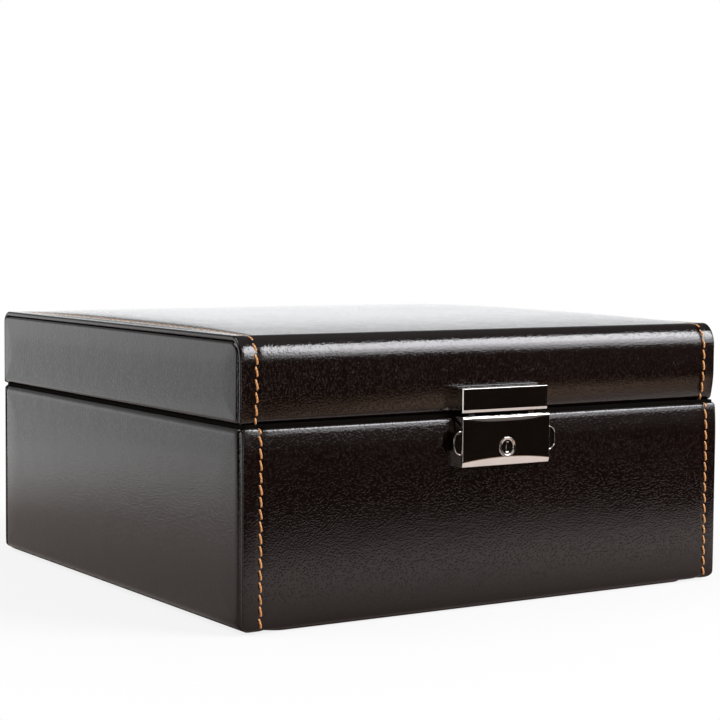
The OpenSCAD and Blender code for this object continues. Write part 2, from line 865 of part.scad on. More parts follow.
module lid_leaf(x) {
    translate([x, 0, 0]) hinge_leaf(lid_z, lid_z + leaf_t, lid_spans, lid_z, 1);
}

module hinge_pins() {
    color(steel_col)
        for (x = [-hinge_x, hinge_x])
            translate([x - hinge_l / 2, back_y, hinge_z]) rotate([0, 90, 0])
                cylinder(h = hinge_l, r = hinge_pin_r, $fn = 48);
}

// Four countersunk screws with their heads flush at z, points along way * Z
module hinge_screws(z, way) {
    color(steel_col)
        for (x = [-hinge_x, hinge_x], dx = [-hinge_screw_dx, hinge_screw_dx])
            translate([x + dx, hinge_screw_y, z]) mirror([0, 0, way > 0 ? 0 : 1]) {
                cylinder(h = leaf_t * 0.8, r1 = hinge_head_r, r2 = hinge_screw_r, $fn = 32);
                cylinder(h = hinge_screw_l, r = hinge_screw_r, $fn = 32);
            }
}

// ---- assembly -------------------------------------------------------------

foot_sheet();
base_floor_board();
base_front_board();
base_back_board();
base_side_board();  // base_left_board
mirror([1, 0, 0]) base_side_board();  // base_right_board
base_cover();
base_side_panel();  // base_left_panel
mirror([1, 0, 0]) base_side_panel();  // base_right_panel
base_floor_liner();
wall_liners(well_z, hinge_z);  // base_wall_liners
long_divider(-divider_y);  // front_divider
long_divider(divider_y);  // back_divider
cross_divider(-divider_x);  // left_divider
cross_divider(divider_x);  // right_divider
watch_pad(-1, -1);  // pad_front_left
watch_pad(0, -1);  // pad_front_middle
watch_pad(1, -1);  // pad_front_right
watch_pad(-1, 0);  // pad_middle_left
watch_pad(0, 0);  // pad_middle
watch_pad(1, 0);  // pad_middle_right
watch_pad(-1, 1);  // pad_back_left
watch_pad(0, 1);  // pad_back_middle
watch_pad(1, 1);  // pad_back_right
lock_case();
lock_back_plate();
lock_screws();
key_barrel();
side_tab();  // left_tab
mirror([1, 0, 0]) side_tab();  // right_tab
tab_spring();  // left_tab_spring
mirror([1, 0, 0]) tab_spring();  // right_tab_spring
lid_top_board();
lid_front_board();
lid_back_board();
lid_side_board();  // lid_left_board
mirror([1, 0, 0]) lid_side_board();  // lid_right_board
lid_foam();
lid_cover();
lid_side_panel();  // lid_left_panel
mirror([1, 0, 0]) lid_side_panel();  // lid_right_panel
wall_liners(hinge_z, lid_board_z);  // lid_wall_liners
lid_cushion();
catch_block();
catch_tongue();
catch_screws();
base_leaf(-hinge_x);  // left_hinge_base_leaf
base_leaf(hinge_x);  // right_hinge_base_leaf
lid_leaf(-hinge_x);  // left_hinge_lid_leaf
lid_leaf(hinge_x);  // right_hinge_lid_leaf
hinge_pins();
hinge_screws(rim_z, -1);  // base_hinge_screws
hinge_screws(lid_z, 1);  // lid_hinge_screws
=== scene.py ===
# %% [markdown]
# # A leather display box for pocket watches
# The real box is dark glossy leather glued over wooden boards. Its lid is padded, a row of
# orange stitches runs along each side of the front, and a polished squeeze lock holds it shut.
# The solids come from the CAD model. Each cell below explains one piece or one finish, and then
# makes it. All lengths in Blender are metres, so `mm` turns the sizes of the real box into them.

# %% The frame and its sizes
import json
import random
from itertools import accumulate
from math import copysign, cos, degrees, exp, pi, radians, sin, sqrt, tan

import bmesh
import bpy
from mathutils import Matrix, Vector, noise


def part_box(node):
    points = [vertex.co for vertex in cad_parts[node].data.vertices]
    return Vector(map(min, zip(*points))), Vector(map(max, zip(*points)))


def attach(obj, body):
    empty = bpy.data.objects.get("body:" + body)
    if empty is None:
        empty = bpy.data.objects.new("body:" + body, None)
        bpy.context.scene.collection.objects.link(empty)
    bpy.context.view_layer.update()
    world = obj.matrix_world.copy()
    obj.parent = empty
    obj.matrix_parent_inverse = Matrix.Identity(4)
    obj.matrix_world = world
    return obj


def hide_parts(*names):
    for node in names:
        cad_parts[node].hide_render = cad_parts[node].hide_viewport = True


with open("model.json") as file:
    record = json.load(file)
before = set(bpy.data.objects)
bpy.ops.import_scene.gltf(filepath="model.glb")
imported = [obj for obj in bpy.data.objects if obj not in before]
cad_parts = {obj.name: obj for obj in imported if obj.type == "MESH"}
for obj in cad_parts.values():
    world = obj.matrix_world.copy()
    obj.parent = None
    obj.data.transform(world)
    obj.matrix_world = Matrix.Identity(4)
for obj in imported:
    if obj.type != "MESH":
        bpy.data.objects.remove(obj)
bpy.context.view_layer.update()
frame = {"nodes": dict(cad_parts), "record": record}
mm = 0.001
random.seed(7)

# %% [markdown]
# Sizes are read from the CAD nodes where a node has them, and written down once here where it
# does not. `front` and `back` are the planes of the leather there, in millimetres.

# %% Sizes of the box, in millimetres
def node_box(node):
    """The two corners of a CAD node, in millimetres."""
    return [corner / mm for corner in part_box(node)]


base_lo, base_hi = node_box("base_cover")
lid_lo, lid_hi = node_box("lid_cover")
panel_lo = node_box("base_left_panel")[0]
front, back = base_lo.y, base_hi.y
lid_front = lid_lo.y  # the lid stands back a little from the base
lid_back = lid_hi.y + 0.6  # and its leather swells past the base at the back
rim = base_hi.z  # top of the base
skirt = base_lo.z  # underside of the base's leather
lid_rim = lid_lo.z  # underside of the lid's leather
wrap = base_hi.x  # half the width of the wraps
side = -panel_lo.x  # half the width over the side panels
panel_t = 2.2  # thickness of a side panel
board_side = side - panel_t  # outer face of the side boards, where the flanges end
crown = 2.2  # how far the padding lifts the lid's top
edge_top = lid_hi.z - crown  # top of the lid along its edges
leather = 1.8  # thickness of a wrap
groove = 0.8  # width of the groove round a side panel
board_face = 7.8  # depth of a wall, from its leather to its liner
hands = ((-1, "left"), (1, "right"))
print("front %.2f back %.2f rim %.2f lid %.2f to %.2f" % (front, back, rim, lid_rim, lid_hi.z))

# %% [markdown]
# ## The camera
# The photograph was taken with a long lens a little above the lid. Its place was solved from
# the corners of the box. The camera is made from three directions, to the right, up and back,
# because a matrix of directions has no doubt about the order of the angles.

# %% The camera at the photograph's viewing angle
def new_object(name, data):
    """An object in the scene that shows a mesh, a lamp or a camera."""
    thing = bpy.data.objects.new(name, data)
    bpy.context.scene.collection.objects.link(thing)
    return thing


yaw, pitch, roll = -0.5739, -0.0695, -0.0081
camera_place = Vector((-423.7, -663.95, 138.3)) * mm
turn = Matrix.Identity(3)
for angle, axis in ((yaw, "Z"), (pitch, "X"), (roll, "Y")):
    turn = turn @ Matrix.Rotation(angle, 3, axis)
right, ahead, up = turn.transposed()
camera_data = bpy.data.cameras.new("camera")
camera_data.sensor_width = 36
camera_data.lens = 97.5
camera_data.clip_start = 0.01
camera = new_object("camera", camera_data)
looking = Matrix((right, up, -ahead)).transposed().to_4x4()
camera.matrix_world = Matrix.Translation(camera_place) @ looking
bpy.context.scene.camera = camera
print("camera at", [round(x, 3) for x in camera_place])

# %% [markdown]
# ## Writing shader maths as Python
# A material is a graph of small nodes, and wiring the maths by hand hides what it computes.
# A `Wire` wraps one output socket. Adding or multiplying wires adds a Math node, or a Vector
# Math node when one of them is a vector, so a finish reads like a formula.

# %% A wire that can be used in formulas
class Wire:
    def __init__(self, finish, socket):
        self.finish, self.socket = finish, socket

    def _maths(self, operation, *values):
        vector = any(isinstance(v, Wire) and v.socket.type in ("VECTOR", "RGBA") for v in values)
        kind = "VectorMath" if vector else "Math"
        return self.finish.node(kind, {"operation": operation}, *values)

    def __add__(self, other): return self._maths("ADD", self, other)
    def __radd__(self, other): return self._maths("ADD", other, self)
    def __sub__(self, other): return self._maths("SUBTRACT", self, other)
    def __rsub__(self, other): return self._maths("SUBTRACT", other, self)
    def __mul__(self, other): return self._maths("MULTIPLY", self, other)
    def __rmul__(self, other): return self._maths("MULTIPLY", other, self)
    def __truediv__(self, other): return self._maths("DIVIDE", self, other)
    def __neg__(self): return 0 - self
    def __abs__(self): return self._maths("ABSOLUTE", self)
    def __pow__(self, power): return self._maths("POWER", self, power)


# %% [markdown]
# A finish is one material. `node` makes every kind of node, `place` gives real millimetres, so
# that a pebble of the grain keeps its size on each piece, and the rest are short names for the
# noises and steps that the finishes below share.

# %% A finish: one material and the nodes in it
class Finish:
    def __init__(self, name):
        self.material = bpy.data.materials.new(name)
        self.material.use_nodes = True
        self.tree = self.material.node_tree
        self.shader = self.tree.nodes["Principled BSDF"]

    def plug(self, socket, value):
        if isinstance(value, Wire):
            self.tree.links.new(value.socket, socket)
        elif socket.type == "RGBA" and len(value) == 3:
            socket.default_value = (*value, 1)
        elif socket.type == "VECTOR" and not hasattr(value, "__len__"):
            socket.default_value = (value, value, value)
        else:
            socket.default_value = value

    def node(self, kind, settings=None, *values, out=0, places=None, **named):
        """A node of any kind: its settings first, then its inputs in order, by place, by name."""
        node = self.tree.nodes.new("ShaderNode" + kind)
        for key, setting in (settings or {}).items():
            setattr(node, key, setting)
        for place, value in [*enumerate(values), *(places or {}).items()]:
            self.plug(node.inputs[place], value)
        for key, value in named.items():
            self.plug(node.inputs[key.replace("_", " ")], value)
        return Wire(self, node.outputs[out])

    def set(self, **sockets):
        """Plugs the shader's own inputs by name, and gives back the material."""
        for key, value in sockets.items():
            self.plug(self.shader.inputs[key.replace("_", " ")], value)
        return self.material

    def place(self, stretch=(1, 1, 1)):
        """Object coordinates in millimetres, so that every scale below is a real size."""
        at = self.node("TexCoord", out=3)
        return at * tuple(1000 * s for s in stretch)

    def speckle(self, at, size, detail=2, roughness=0.5, distortion=0):
        """Smooth noise from 0 to 1 whose blobs are about `size` millimetres."""
        return self.node("TexNoise", Vector=at, Scale=1 / size, Detail=detail,
                         Roughness=roughness, Distortion=distortion)

    def ramp(self, low, high, value):
        """0 where value is under low, 1 over high, with a soft step between."""
        soft = {"interpolation_type": "SMOOTHSTEP"}
        return self.node("MapRange", soft, value, low, high, 0.0, 1.0)

    def mix(self, factor, one, other):
        """A colour between two. Sockets 6 and 7 are the colour ones of the Mix node."""
        return self.node("Mix", {"data_type": "RGBA"}, out=2,
                         places={0: factor, 6: one, 7: other})

    def bump(self, height, depth, strength=1.0):
        """Normals for a height from 0 to 1 that is `depth` millimetres tall."""
        return self.node("Bump", Strength=strength, Distance=depth * mm,
                         Height=height)


def srgb(red, green, blue):
    """A colour from 0 to 255, as the linear values that Blender works in."""
    return tuple(c / 255 / 12.92 if c <= 10 else ((c / 255 + 0.055) / 1.055) ** 2.4
                 for c in (red, green, blue))


print("shader helpers ready; a mid grey is", [round(c, 3) for c in srgb(128, 128, 128)])

# %% [markdown]
# ## The leather
# This is corrected leather: a fine printed grain under a clear glossy finish, so it shows a
# sharp highlight that breaks into specks. Three heights are added: pebbles about a millimetre
# across with thin valleys between them, a finer tooth, and long faint creases where the hide
# was pulled over the boards. The colour stays almost even. A coat gives the clear finish.

# %% Glossy dark leather
def leather_finish(name, pebble_depth, gloss):
    f = Finish(name)
    at = f.place()
    warp = f.speckle(at, 3.0, 2) * 1.6
    pebbles = f.node("TexVoronoi", {"feature": "F1"}, Vector=at + warp, Scale=1 / 0.85)
    tooth = f.speckle(at, 0.4, 2)
    drift = f.speckle(at, 38.0, 3)
    crease_field = f.speckle(f.place((0.7, 0.7, 1.2)), 6.0, 3, 0.6, 0.8)
    creases = f.ramp(0.0, 0.04, abs(crease_field - 0.5))
    worn = f.ramp(0.45, 0.65, f.speckle(at, 16.0, 3))
    height = f.ramp(0.05, 0.6, pebbles) * -0.55 + tooth * 0.3 + creases * worn * 0.1
    waves = f.speckle(at, 13.0, 2)
    return f.set(
        Base_Color=f.mix(drift, srgb(13, 6, 5), srgb(19, 9, 8)),
        Roughness=gloss + 0.05 * tooth + 0.03 * drift,
        Normal=f.node("Bump", Strength=1.0, Distance=pebble_depth * mm,
                      Height=height, Normal=f.bump(waves, 0.10)),
        IOR=1.5, Specular_IOR_Level=0.42, Coat_Weight=0.12, Coat_Roughness=0.06, Coat_IOR=1.5,
    )


glossy_leather = leather_finish("glossy_leather", 0.06, 0.08)
print("made", glossy_leather.name)

# %% [markdown]
# ## Thread, suede, metal, wood
# The thread is a waxed two-ply polyester: orange, with painted shade in the valleys where the plies
# twist.
# Its twist is a slanted wave along the stitch, which the mesh's own UVs carry.

# %% Orange thread
def thread_finish():
    f = Finish("orange_thread")
    along = f.node("UVMap", {"uv_map": "twist"})
    twist = f.node("TexWave", {"bands_direction": "DIAGONAL"}, Vector=along, Scale=0.55)
    fuzz = f.speckle(f.place(), 0.25, 2)
    return f.set(
        # the low parts of the twist are painted darker: painted shade in the valleys between the plies
        Base_Color=f.mix(twist * 0.7 + fuzz * 0.3, srgb(196, 122, 60), srgb(246, 186, 116)),
        Roughness=0.42 + 0.15 * fuzz,
        Normal=f.bump(twist, 0.10),
        Sheen_Weight=0.25,
    )


orange_thread = thread_finish()
print("made", orange_thread.name)

# %% [markdown]
# Suede drinks light. It is rough all over, with a nap that lies this way and that, which shows
# as soft lighter and darker clouds, and it has a sheen at its edges. The felt in the seam is
# nearly black painted shade that makes the seam read dark, and it has no sheen, or the seam would look
# grey.

# %% Brown suede, and the felt that paints the seam's shade
def suede_finish(name, dark, light):
    f = Finish(name)
    at = f.place()
    nap = f.speckle(at, 9.0, 4, 0.65)
    fibre = f.speckle(at, 0.35, 3, 0.7)
    return f.set(
        Base_Color=f.mix(nap * 0.75 + fibre * 0.25, dark, light),
        Roughness=0.9, Normal=f.bump(fibre + nap * 0.6, 0.12),
        Sheen_Weight=0.5, Sheen_Roughness=0.5, Specular_IOR_Level=0.25,
    )


lining_suede = suede_finish("lining_suede", srgb(58, 42, 32), srgb(92, 69, 52))
foot_suede = suede_finish("foot_suede", srgb(58, 44, 35), srgb(108, 90, 72))


def seam_shade_felt_finish():
    f = Finish("seam_shade_felt")
    fibre = f.speckle(f.place(), 0.35, 3, 0.7)
    # nearly black felt: painted shade, so that the seam reads dark
    return f.set(
        Base_Color=f.mix(fibre, (0.002, 0.0015, 0.001), (0.005, 0.004, 0.003)),
        Roughness=1.0, Normal=f.bump(fibre, 0.1), Specular_IOR_Level=0.05,
    )


seam_shade_felt = seam_shade_felt_finish()
print("made", lining_suede.name, foot_suede.name, seam_shade_felt.name)

# %% [markdown]
# The lock is plated and polished like a mirror. It looks black because it mirrors the dark
# room in front of the box. Faint haze and hairlines from wiping keep it from looking like a
# perfect computer mirror.

# %% Polished black nickel and plated steel
def metal_finish(name, tint, gloss, hair_depth):
    f = Finish(name)
    haze = f.speckle(f.place(), 6.0, 4, 0.6)
    hair = f.speckle(f.place((0.15, 0.15, 4.0)), 0.9, 3)
    return f.set(
        Base_Color=f.mix(haze, tint, tuple(c * 0.86 for c in tint)),
        Metallic=1.0, Roughness=gloss + 0.05 * haze, Normal=f.bump(hair, hair_depth),
    )


black_nickel = metal_finish("black_nickel", srgb(208, 203, 198), 0.04, 0.001)
# darker metal for the hinges; on the catch tongue it is painted shade in the gap between catch and
# lock
dark_hardware_and_gap_shade = metal_finish("dark_hardware_and_gap_shade", srgb(84, 80, 77), 0.2, 0.006)
plated_steel = metal_finish("plated_steel", srgb(196, 196, 198), 0.24, 0.01)
print("made", black_nickel.name, dark_hardware_and_gap_shade.name, plated_steel.name)

# %% [markdown]
# The boards inside the walls are sanded wood. They hardly show, but the underside of the lid
# and the cut edges can be seen when the box is taken apart, so they get growth rings and pores.

# %% Sanded wood for the boards
def wood_finish():
    f = Finish("sanded_wood")
    at = f.place((0.08, 0.25, 1.0))
    rings = f.node("TexWave", {"wave_type": "RINGS"}, Vector=at, Scale=0.16,
                   Distortion=3.0, Detail=3.0)
    pores = f.speckle(f.place((0.05, 1, 1)), 0.4, 3)
    return f.set(
        Base_Color=f.mix(rings * 0.7 + pores * 0.3, srgb(196, 160, 116), srgb(154, 114, 74)),
        Roughness=0.6 + 0.2 * pores, Normal=f.bump(pores, 0.08),
    )


sanded_wood = wood_finish()
print("finishes", [m.name for m in bpy.data.materials])

# %% [markdown]
# ## Building a wrap
# Each wrap is one hide, folded round the boards like a book cover. Seen from the side it
# follows an outline, and along that outline it has one section: a flat strip whose two ends
# are folded under. So a wrap is a grid of outline points and places across the width, each
# with a depth under the surface. Creases and rounded corners come out exact.

# %% Points of an outline seen from the side
def arc_points(centre, radius, start, end, step=0.7):
    """Points with outward directions on an arc, angles in degrees, from start to end."""
    count = max(3, int(abs(radians(end - start)) * radius / step))
    found = []
    for i in range(count + 1):
        a = radians(start + (end - start) * i / count)
        spot = Vector((centre[0] + radius * cos(a), centre[1] + radius * sin(a)))
        found.append((spot, Vector((cos(a), sin(a))).normalized()))
    return found


def straight_points(start, end, away, step=4.0):
    """Points between two places, without the places themselves, that face away."""
    start, end, away = Vector(start), Vector(end), Vector(away)
    count = max(1, int((end - start).length / step))
    return [(start.lerp(end, i / count), away) for i in range(1, count)]


def outline_lengths(outline):
    """How far along the outline each of its points lies."""
    return [0.0, *accumulate((b - a).length for (a, _), (b, _) in zip(outline, outline[1:]))]


print("a quarter round of 2 mm has", len(arc_points((0, 0), 2, 0, 90)), "points")

# %% [markdown]
# The lid's front is upright at the left end and tucks in more and more towards the right, as a
# hand-glued hide does. Under its sharp rim the front of the base leans back a little over the
# top centimetre, which is where it sparkles. Both outlines start inside the front wall and end
# inside the back wall. At its rolled side edges each wrap bends a little into the seam.

# %% The outlines of the lid and of the base
belly_z = lid_rim + 12.0  # the lid's front tucks in below this
tuck_left, tuck_more = 0.35, 1.45  # tuck at the left end, and what the right end adds
top_front_r, top_front_tall = 6.5, 9.0  # the front edge is rounder below than on top
top_back_r = 4.5
rim_r = 1.3
shoulder_tall, shoulder_deep = 13.0, 0.75
bottom_r = 2.2
lip_r = 1.4
roll_from, roll_wide, roll_tall = 97, 6, 4  # where the side edges roll into the seam
lid_roll, base_roll = -0.5, 0.4


def tuck(x, y, z):
    """How far the lower part of the lid's front is drawn in at a place."""
    low = max(0.0, (belly_z - z) / (belly_z - lid_rim))
    near = min(1.0, max(0.0, (lid_front + board_face - y) / (board_face - 3.0)))
    return (tuck_left + tuck_more * (x + wrap) / (2 * wrap)) * low ** 2 * near


def toward_end(x):
    """0 over most of a wrap, 1 at its rolled side edges."""
    t = min(1.0, max(0.0, (abs(x) - roll_from) / roll_wide))
    return t * t * (3 - 2 * t)


def lid_shape(x, y, z):
    """Shift of a point of the lid's wrap: the tuck, and the edges that roll into the seam."""
    down = lid_roll * toward_end(x) * max(0.0, 1 - (z - lid_rim) / roll_tall)
    return Vector((tuck(x, y, z), down))


def base_shape(x, y, z):
    return Vector((0.0, base_roll * toward_end(x) * max(0.0, 1 - (rim - z) / roll_tall)))


def shoulder(z):
    """How far the base's front leans back under its rim."""
    return shoulder_deep * max(0.0, 1 - (rim - z) / shoulder_tall) ** 2


def fold_points(start, z, facing, inwards):
    """Points of the leather that is folded over a rim, at distances from its face."""
    return [(Vector((start + inward, z)), Vector((0, facing))) for inward in inwards]


def lid_outline():
    y, top = lid_front, edge_top - top_front_tall
    found = fold_points(y, lid_rim, -1, (board_face, 6.0, 4.5, 3.0, 2.0))
    found += arc_points((y + lip_r, lid_rim + lip_r), lip_r, 270, 180, 0.3)
    found += straight_points((y, lid_rim + lip_r), (y, top), (-1, 0), 0.8)
    for k in range(29):
        a = radians(180 - 90 * k / 28)
        spot = Vector((y + top_front_r * (1 + cos(a)), top + top_front_tall * sin(a)))
        away = Vector((cos(a) / top_front_r, sin(a) / top_front_tall))
        found.append((spot, away.normalized()))
    found += straight_points((y + top_front_r, edge_top), (lid_back - top_back_r, edge_top),
                             (0, 1), 3.0)
    found += arc_points((lid_back - top_back_r, edge_top - top_back_r), top_back_r, 90, 0, 0.5)
    found += straight_points((lid_back, edge_top - top_back_r), (lid_back, lid_rim + 1), (1, 0), 2.5)
    found += arc_points((lid_back - 1, lid_rim + 1), 1, 0, -90, 0.3)
    return found + fold_points(lid_back, lid_rim, -1, (-2.2, -3, -6, -board_face))


def base_outline():
    lean = degrees(2 * shoulder_deep / shoulder_tall)
    found = fold_points(front, rim, 1, (board_face, 6.5, 5.0, 3.6, 2.6, 2.0))
    found += arc_points((front + shoulder_deep + rim_r, rim - rim_r), rim_r, 90, 180 - lean, 0.25)
    for i in range(1, 15):
        z = rim - rim_r - (shoulder_tall - rim_r) * i / 14
        slope = 2 * shoulder_deep / shoulder_tall * max(0.0, 1 - (rim - z) / shoulder_tall)
        found.append((Vector((front + shoulder(z), z)), Vector((-1, slope)).normalized()))
    found += straight_points((front, rim - shoulder_tall), (front, skirt + bottom_r), (-1, 0), 2.0)
    found += arc_points((front + bottom_r, skirt + bottom_r), bottom_r, 180, 270, 0.35)
    found += straight_points((front + bottom_r, skirt), (back - bottom_r, skirt), (0, -1), 5.0)
    found += arc_points((back - bottom_r, skirt + bottom_r), bottom_r, 270, 360, 0.35)
    found += straight_points((back, skirt + bottom_r), (back, rim - rim_r), (1, 0), 3.0)
    found += arc_points((back - rim_r, rim - rim_r), rim_r, 0, 90, 0.3)
    return found + fold_points(back, rim, 1, (-2.2, -3.0, -5.0, -board_face))


lid_path, base_path = lid_outline(), base_outline()
print("outline points: lid", len(lid_path), "base", len(base_path))

# %% [markdown]
# Across its width a wrap is flat, with a rolled edge at each side that turns back under
# itself, and a shallow valley where the stitches pull the leather down. No two rows are
# equally far from the edge, because they were sewn by hand and eye. `padding` lifts the top of
# the lid. From left to right it is flat and falls off only at the very ends, and from front
# to back it is one long curve, as a foam sheet under tight leather is.

# %% The section across a wrap
lid_seams = (6.1, 5.8)  # left and right row, from the side edge of the lid's wrap
base_seams = (6.9, 5.5)
valley_wide, valley_deep = 1.4, 0.25
valley_steps = (0.6, 1.1, 1.6, 2.1, 2.7, 3.4)
edge_r = 0.9
padding_end = 2.0  # the padding ends this far inside the wrap's side edge
across_power, along_power = 13, 3  # higher is flatter in the middle, steeper at the end


def half_section(seam_in):
    """(place in from the side edge, depth under the surface), from the fold to the middle."""
    places = [(4.0, leather), (2.2, leather)]
    for i in range(9):
        a = pi * i / 8
        places.append((edge_r - edge_r * sin(a), edge_r + edge_r * cos(a)))
    nearer = [-d for d in reversed(valley_steps)]
    for d in (-4.3, *nearer, 0.0, *valley_steps, 4.4, 6.0, 8.5):
        places.append((seam_in + d, valley_deep * exp(-(d / valley_wide) ** 2)))
    return places


def padding(x, y):
    """Lift of the lid's top at a place, in millimetres."""
    across = max(0.0, 1 - abs(x / (wrap - padding_end)) ** across_power)
    lo, hi = lid_front + top_front_r, lid_back - top_back_r
    t = (2 * y - lo - hi) / (hi - lo)
    along = max(0.0, 1 - abs(t) ** along_power) if abs(t) < 1 else 0.0
    return crown * across * along


def corner_cut(distance, radius):
    """How much narrower a piece with round corners is, at a distance from its end."""
    if distance >= radius:
        return 0.0
    return radius - sqrt(max(0.0, radius ** 2 - (radius - distance) ** 2))


print("padding in the middle of the lid", round(padding(0, (lid_front + lid_back) / 2), 2), "mm")

# %% [markdown]
# A hide is cut flat and then folded, so the grid carries one section along the whole outline.
# Three helpers serve every later piece: `grid_faces` joins rows of points, `tube_faces` also
# closes both ends, and `dress` says which body a piece rides on and which CAD nodes it stands for.

# %% A wrap from its outline and its section
def mesh_object(name, verts, faces, material, smooth=True):
    mesh = bpy.data.meshes.new(name)
    mesh.from_pydata([tuple(c * mm for c in v) for v in verts], [], faces)
    mesh.materials.append(material)
    mesh.polygons.foreach_set("use_smooth", [smooth] * len(mesh.polygons))
    mesh.update()
    return new_object(name, mesh)


def dress(piece, body, slot, *nodes):
    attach(piece, body)
    if nodes:
        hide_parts(*nodes)
    return piece


def flipped(faces):
    return [tuple(reversed(face)) for face in faces]


def end_caps(count, total, first=0):
    """Faces over the first and the last ring of `total` points, with `count` points a ring."""
    last = first + total
    return [tuple(range(first, first + count))[::-1], tuple(range(last - count, last))]


def grid_faces(rows, columns, closed=False, start=0):
    """Quads between the rows of a grid of points, `closed` where each row is a ring."""
    faces = []
    for i in range(rows - 1):
        for j in range(columns if closed else columns - 1):
            a, b, k = i * columns, (i + 1) * columns, (j + 1) % columns
            faces.append(tuple(start + n for n in (a + j, a + k, b + k, b + j)))
    return faces


def tube_faces(rings, count, first=0):
    """The wall and both ends of a solid made of rings of `count` points."""
    return grid_faces(rings, count, True, first) + end_caps(count, rings * count, first)


def wrap_piece(name, path, seams, half_width, lift, shift, material):
    """half_width(point) narrows a wrap at its corners, lift pads it and shift draws it in."""
    left, other = half_section(seams[0]), half_section(seams[1])
    sewn = 18  # the even middle of the section starts this far in
    flat = [-wrap + sewn + (wrap - sewn) * 2 * i / 40 for i in range(1, 40)]
    verts, columns = [], len(left) + len(other) + len(flat)
    for point, away in path:
        w = half_width(point)
        row = [(-w + d, deep) for d, deep in left] + [(x * w / wrap, 0.0) for x in flat]
        row += [(w - d, deep) for d, deep in reversed(other)]
        for x, deep in row:
            out = lift(x, point, away) if deep < leather * 0.6 else 0.0
            spot = point - away * (deep - out) + shift(x, point.x, point.y)
            verts.append((x, spot.x, spot.y))
    return mesh_object(name, verts, flipped(grid_faces(len(path), columns)), material)


def lid_lift(x, point, away):
    return padding(x, point.x) if away.y > 0.5 else 0.0


def flange(point, edge_y):
    """Whether a point of an outline lies on a flange, between the side panels."""
    return edge_y + leather < point.x < back - leather


def lid_half_width(point):
    if point.y < lid_rim + 0.01 and flange(point, lid_front):
        return board_side
    return wrap - corner_cut(point.y - lid_rim, 0.7)


def base_half_width(point):
    if (point.y > rim - 0.01 or point.y < skirt + 0.01) and flange(point, front):
        return board_side
    return wrap - max(corner_cut(rim - point.y, 1.2), corner_cut(point.y - skirt, 3.0))


def no_lift(x, point, away):
    return 0.0


lid_wrap = wrap_piece("lid_leather_wrap", lid_path, lid_seams, lid_half_width,
                      lid_lift, lid_shape, glossy_leather)
base_wrap = wrap_piece("base_leather_wrap", base_path, base_seams, base_half_width,
                       no_lift, base_shape, glossy_leather)
dress(lid_wrap, "lid", "dark_leather", "lid_cover", "lid_foam")
dress(base_wrap, "base", "dark_leather", "base_cover")
print("wraps", len(lid_wrap.data.vertices), len(base_wrap.data.vertices), "points")

# %% [markdown]
# ## The side panels
# Each side is a board with leather over thin foam, set in between the two edges of a wrap with
# a narrow groove all round. It is made of rings that shrink towards a short line in the
# middle. The height of a ring follows from its distance from the edge: round, then a slow swell.

# %% Side panels
panel_swell = 0.45


def panel_outline(y0, y1, z0, z1, radii):
    """Rounded rectangle in (y, z): radii at front low, back low, back high and front high."""
    found = []
    for y, z, start, r in ((y0, z0, 180, radii[0]), (y1, z0, 270, radii[1]),
                           (y1, z1, 0, radii[2]), (y0, z1, 90, radii[3])):
        centre = (y + r if y == y0 else y - r, z + r if z == z0 else z - r)
        found += [point for point, _ in arc_points(centre, r, start, start + 90, 0.35)]
    dense = []
    for a, b in zip(found, found[1:] + found[:1]):
        count = max(1, int((b - a).length / 3.0))
        dense += [a.lerp(b, i / count) for i in range(count)]
    return dense


def side_panel(half, hand, word, y0, y1, z0, z1, radii, round_r, drawn):
    """drawn(x, y, z) follows the tuck of the wrap beside it."""
    ring = panel_outline(y0, y1, z0, z1, radii)
    reach, middle = (z1 - z0) / 2, (z0 + z1) / 2
    flat = 0.8 * reach if reach < 15 else 14.0
    steps = [round_r * (1 - cos(pi / 2 * i / 7)) for i in range(8)]
    steps += [round_r + (flat - round_r) * (i / 9) ** 1.4 for i in range(1, 10)]
    rises = [sqrt(max(0.0, round_r ** 2 - max(0.0, round_r - d) ** 2)) - round_r
             + panel_swell * sin(pi / 2 * d / flat) for d in steps]
    verts = []
    for d, rise in zip([0.0] + steps, [-side + board_side] + rises):
        x = hand * (side - panel_swell + rise)
        for p in ring:
            centre = Vector((min(max(p.x, y0 + reach), y1 - reach), middle))
            q = p.lerp(centre, d / reach)
            verts.append((x, q.x + drawn(x, q.x, q.y), q.y))
    count = len(ring)
    faces = grid_faces(len(steps) + 1, count, closed=True)
    faces.append(tuple(range(len(steps) * count, (len(steps) + 1) * count)))
    faces = flipped(faces) if hand < 0 else faces
    piece = mesh_object(f"{half}_{word}_padded_side", verts, faces, glossy_leather)
    dress(piece, half, "dark_leather", f"{half}_{word}_panel")
    return piece


def lid_drawn(x, y, z):
    """The tuck of the lid's front, fading out towards the back of the panel."""
    return tuck(x, lid_front, z) * max(0.0, 1 - (y - lid_front) / 30)


def base_drawn(x, y, z):
    """The lean of the base's front, on the front end of the panel."""
    return shoulder(z) if y < front + 9 else 0.0


inset = leather + groove
panel_pieces = []
for hand, word in hands:
    panel_pieces.append(side_panel(
        "base", hand, word, front + inset, back - 0.15, skirt + 0.3, rim + 0.5,
        (1.2, 1.2, 1.2, 1.2), 3.0, base_drawn))
    panel_pieces.append(side_panel(
        "lid", hand, word, lid_front + inset, lid_back - 0.15, lid_rim - 0.1,
        edge_top - leather - 0.1, (1.2, 1.0, 2.2, 4.4), 1.3, lid_drawn))
print("side panels", [p.name for p in panel_pieces])
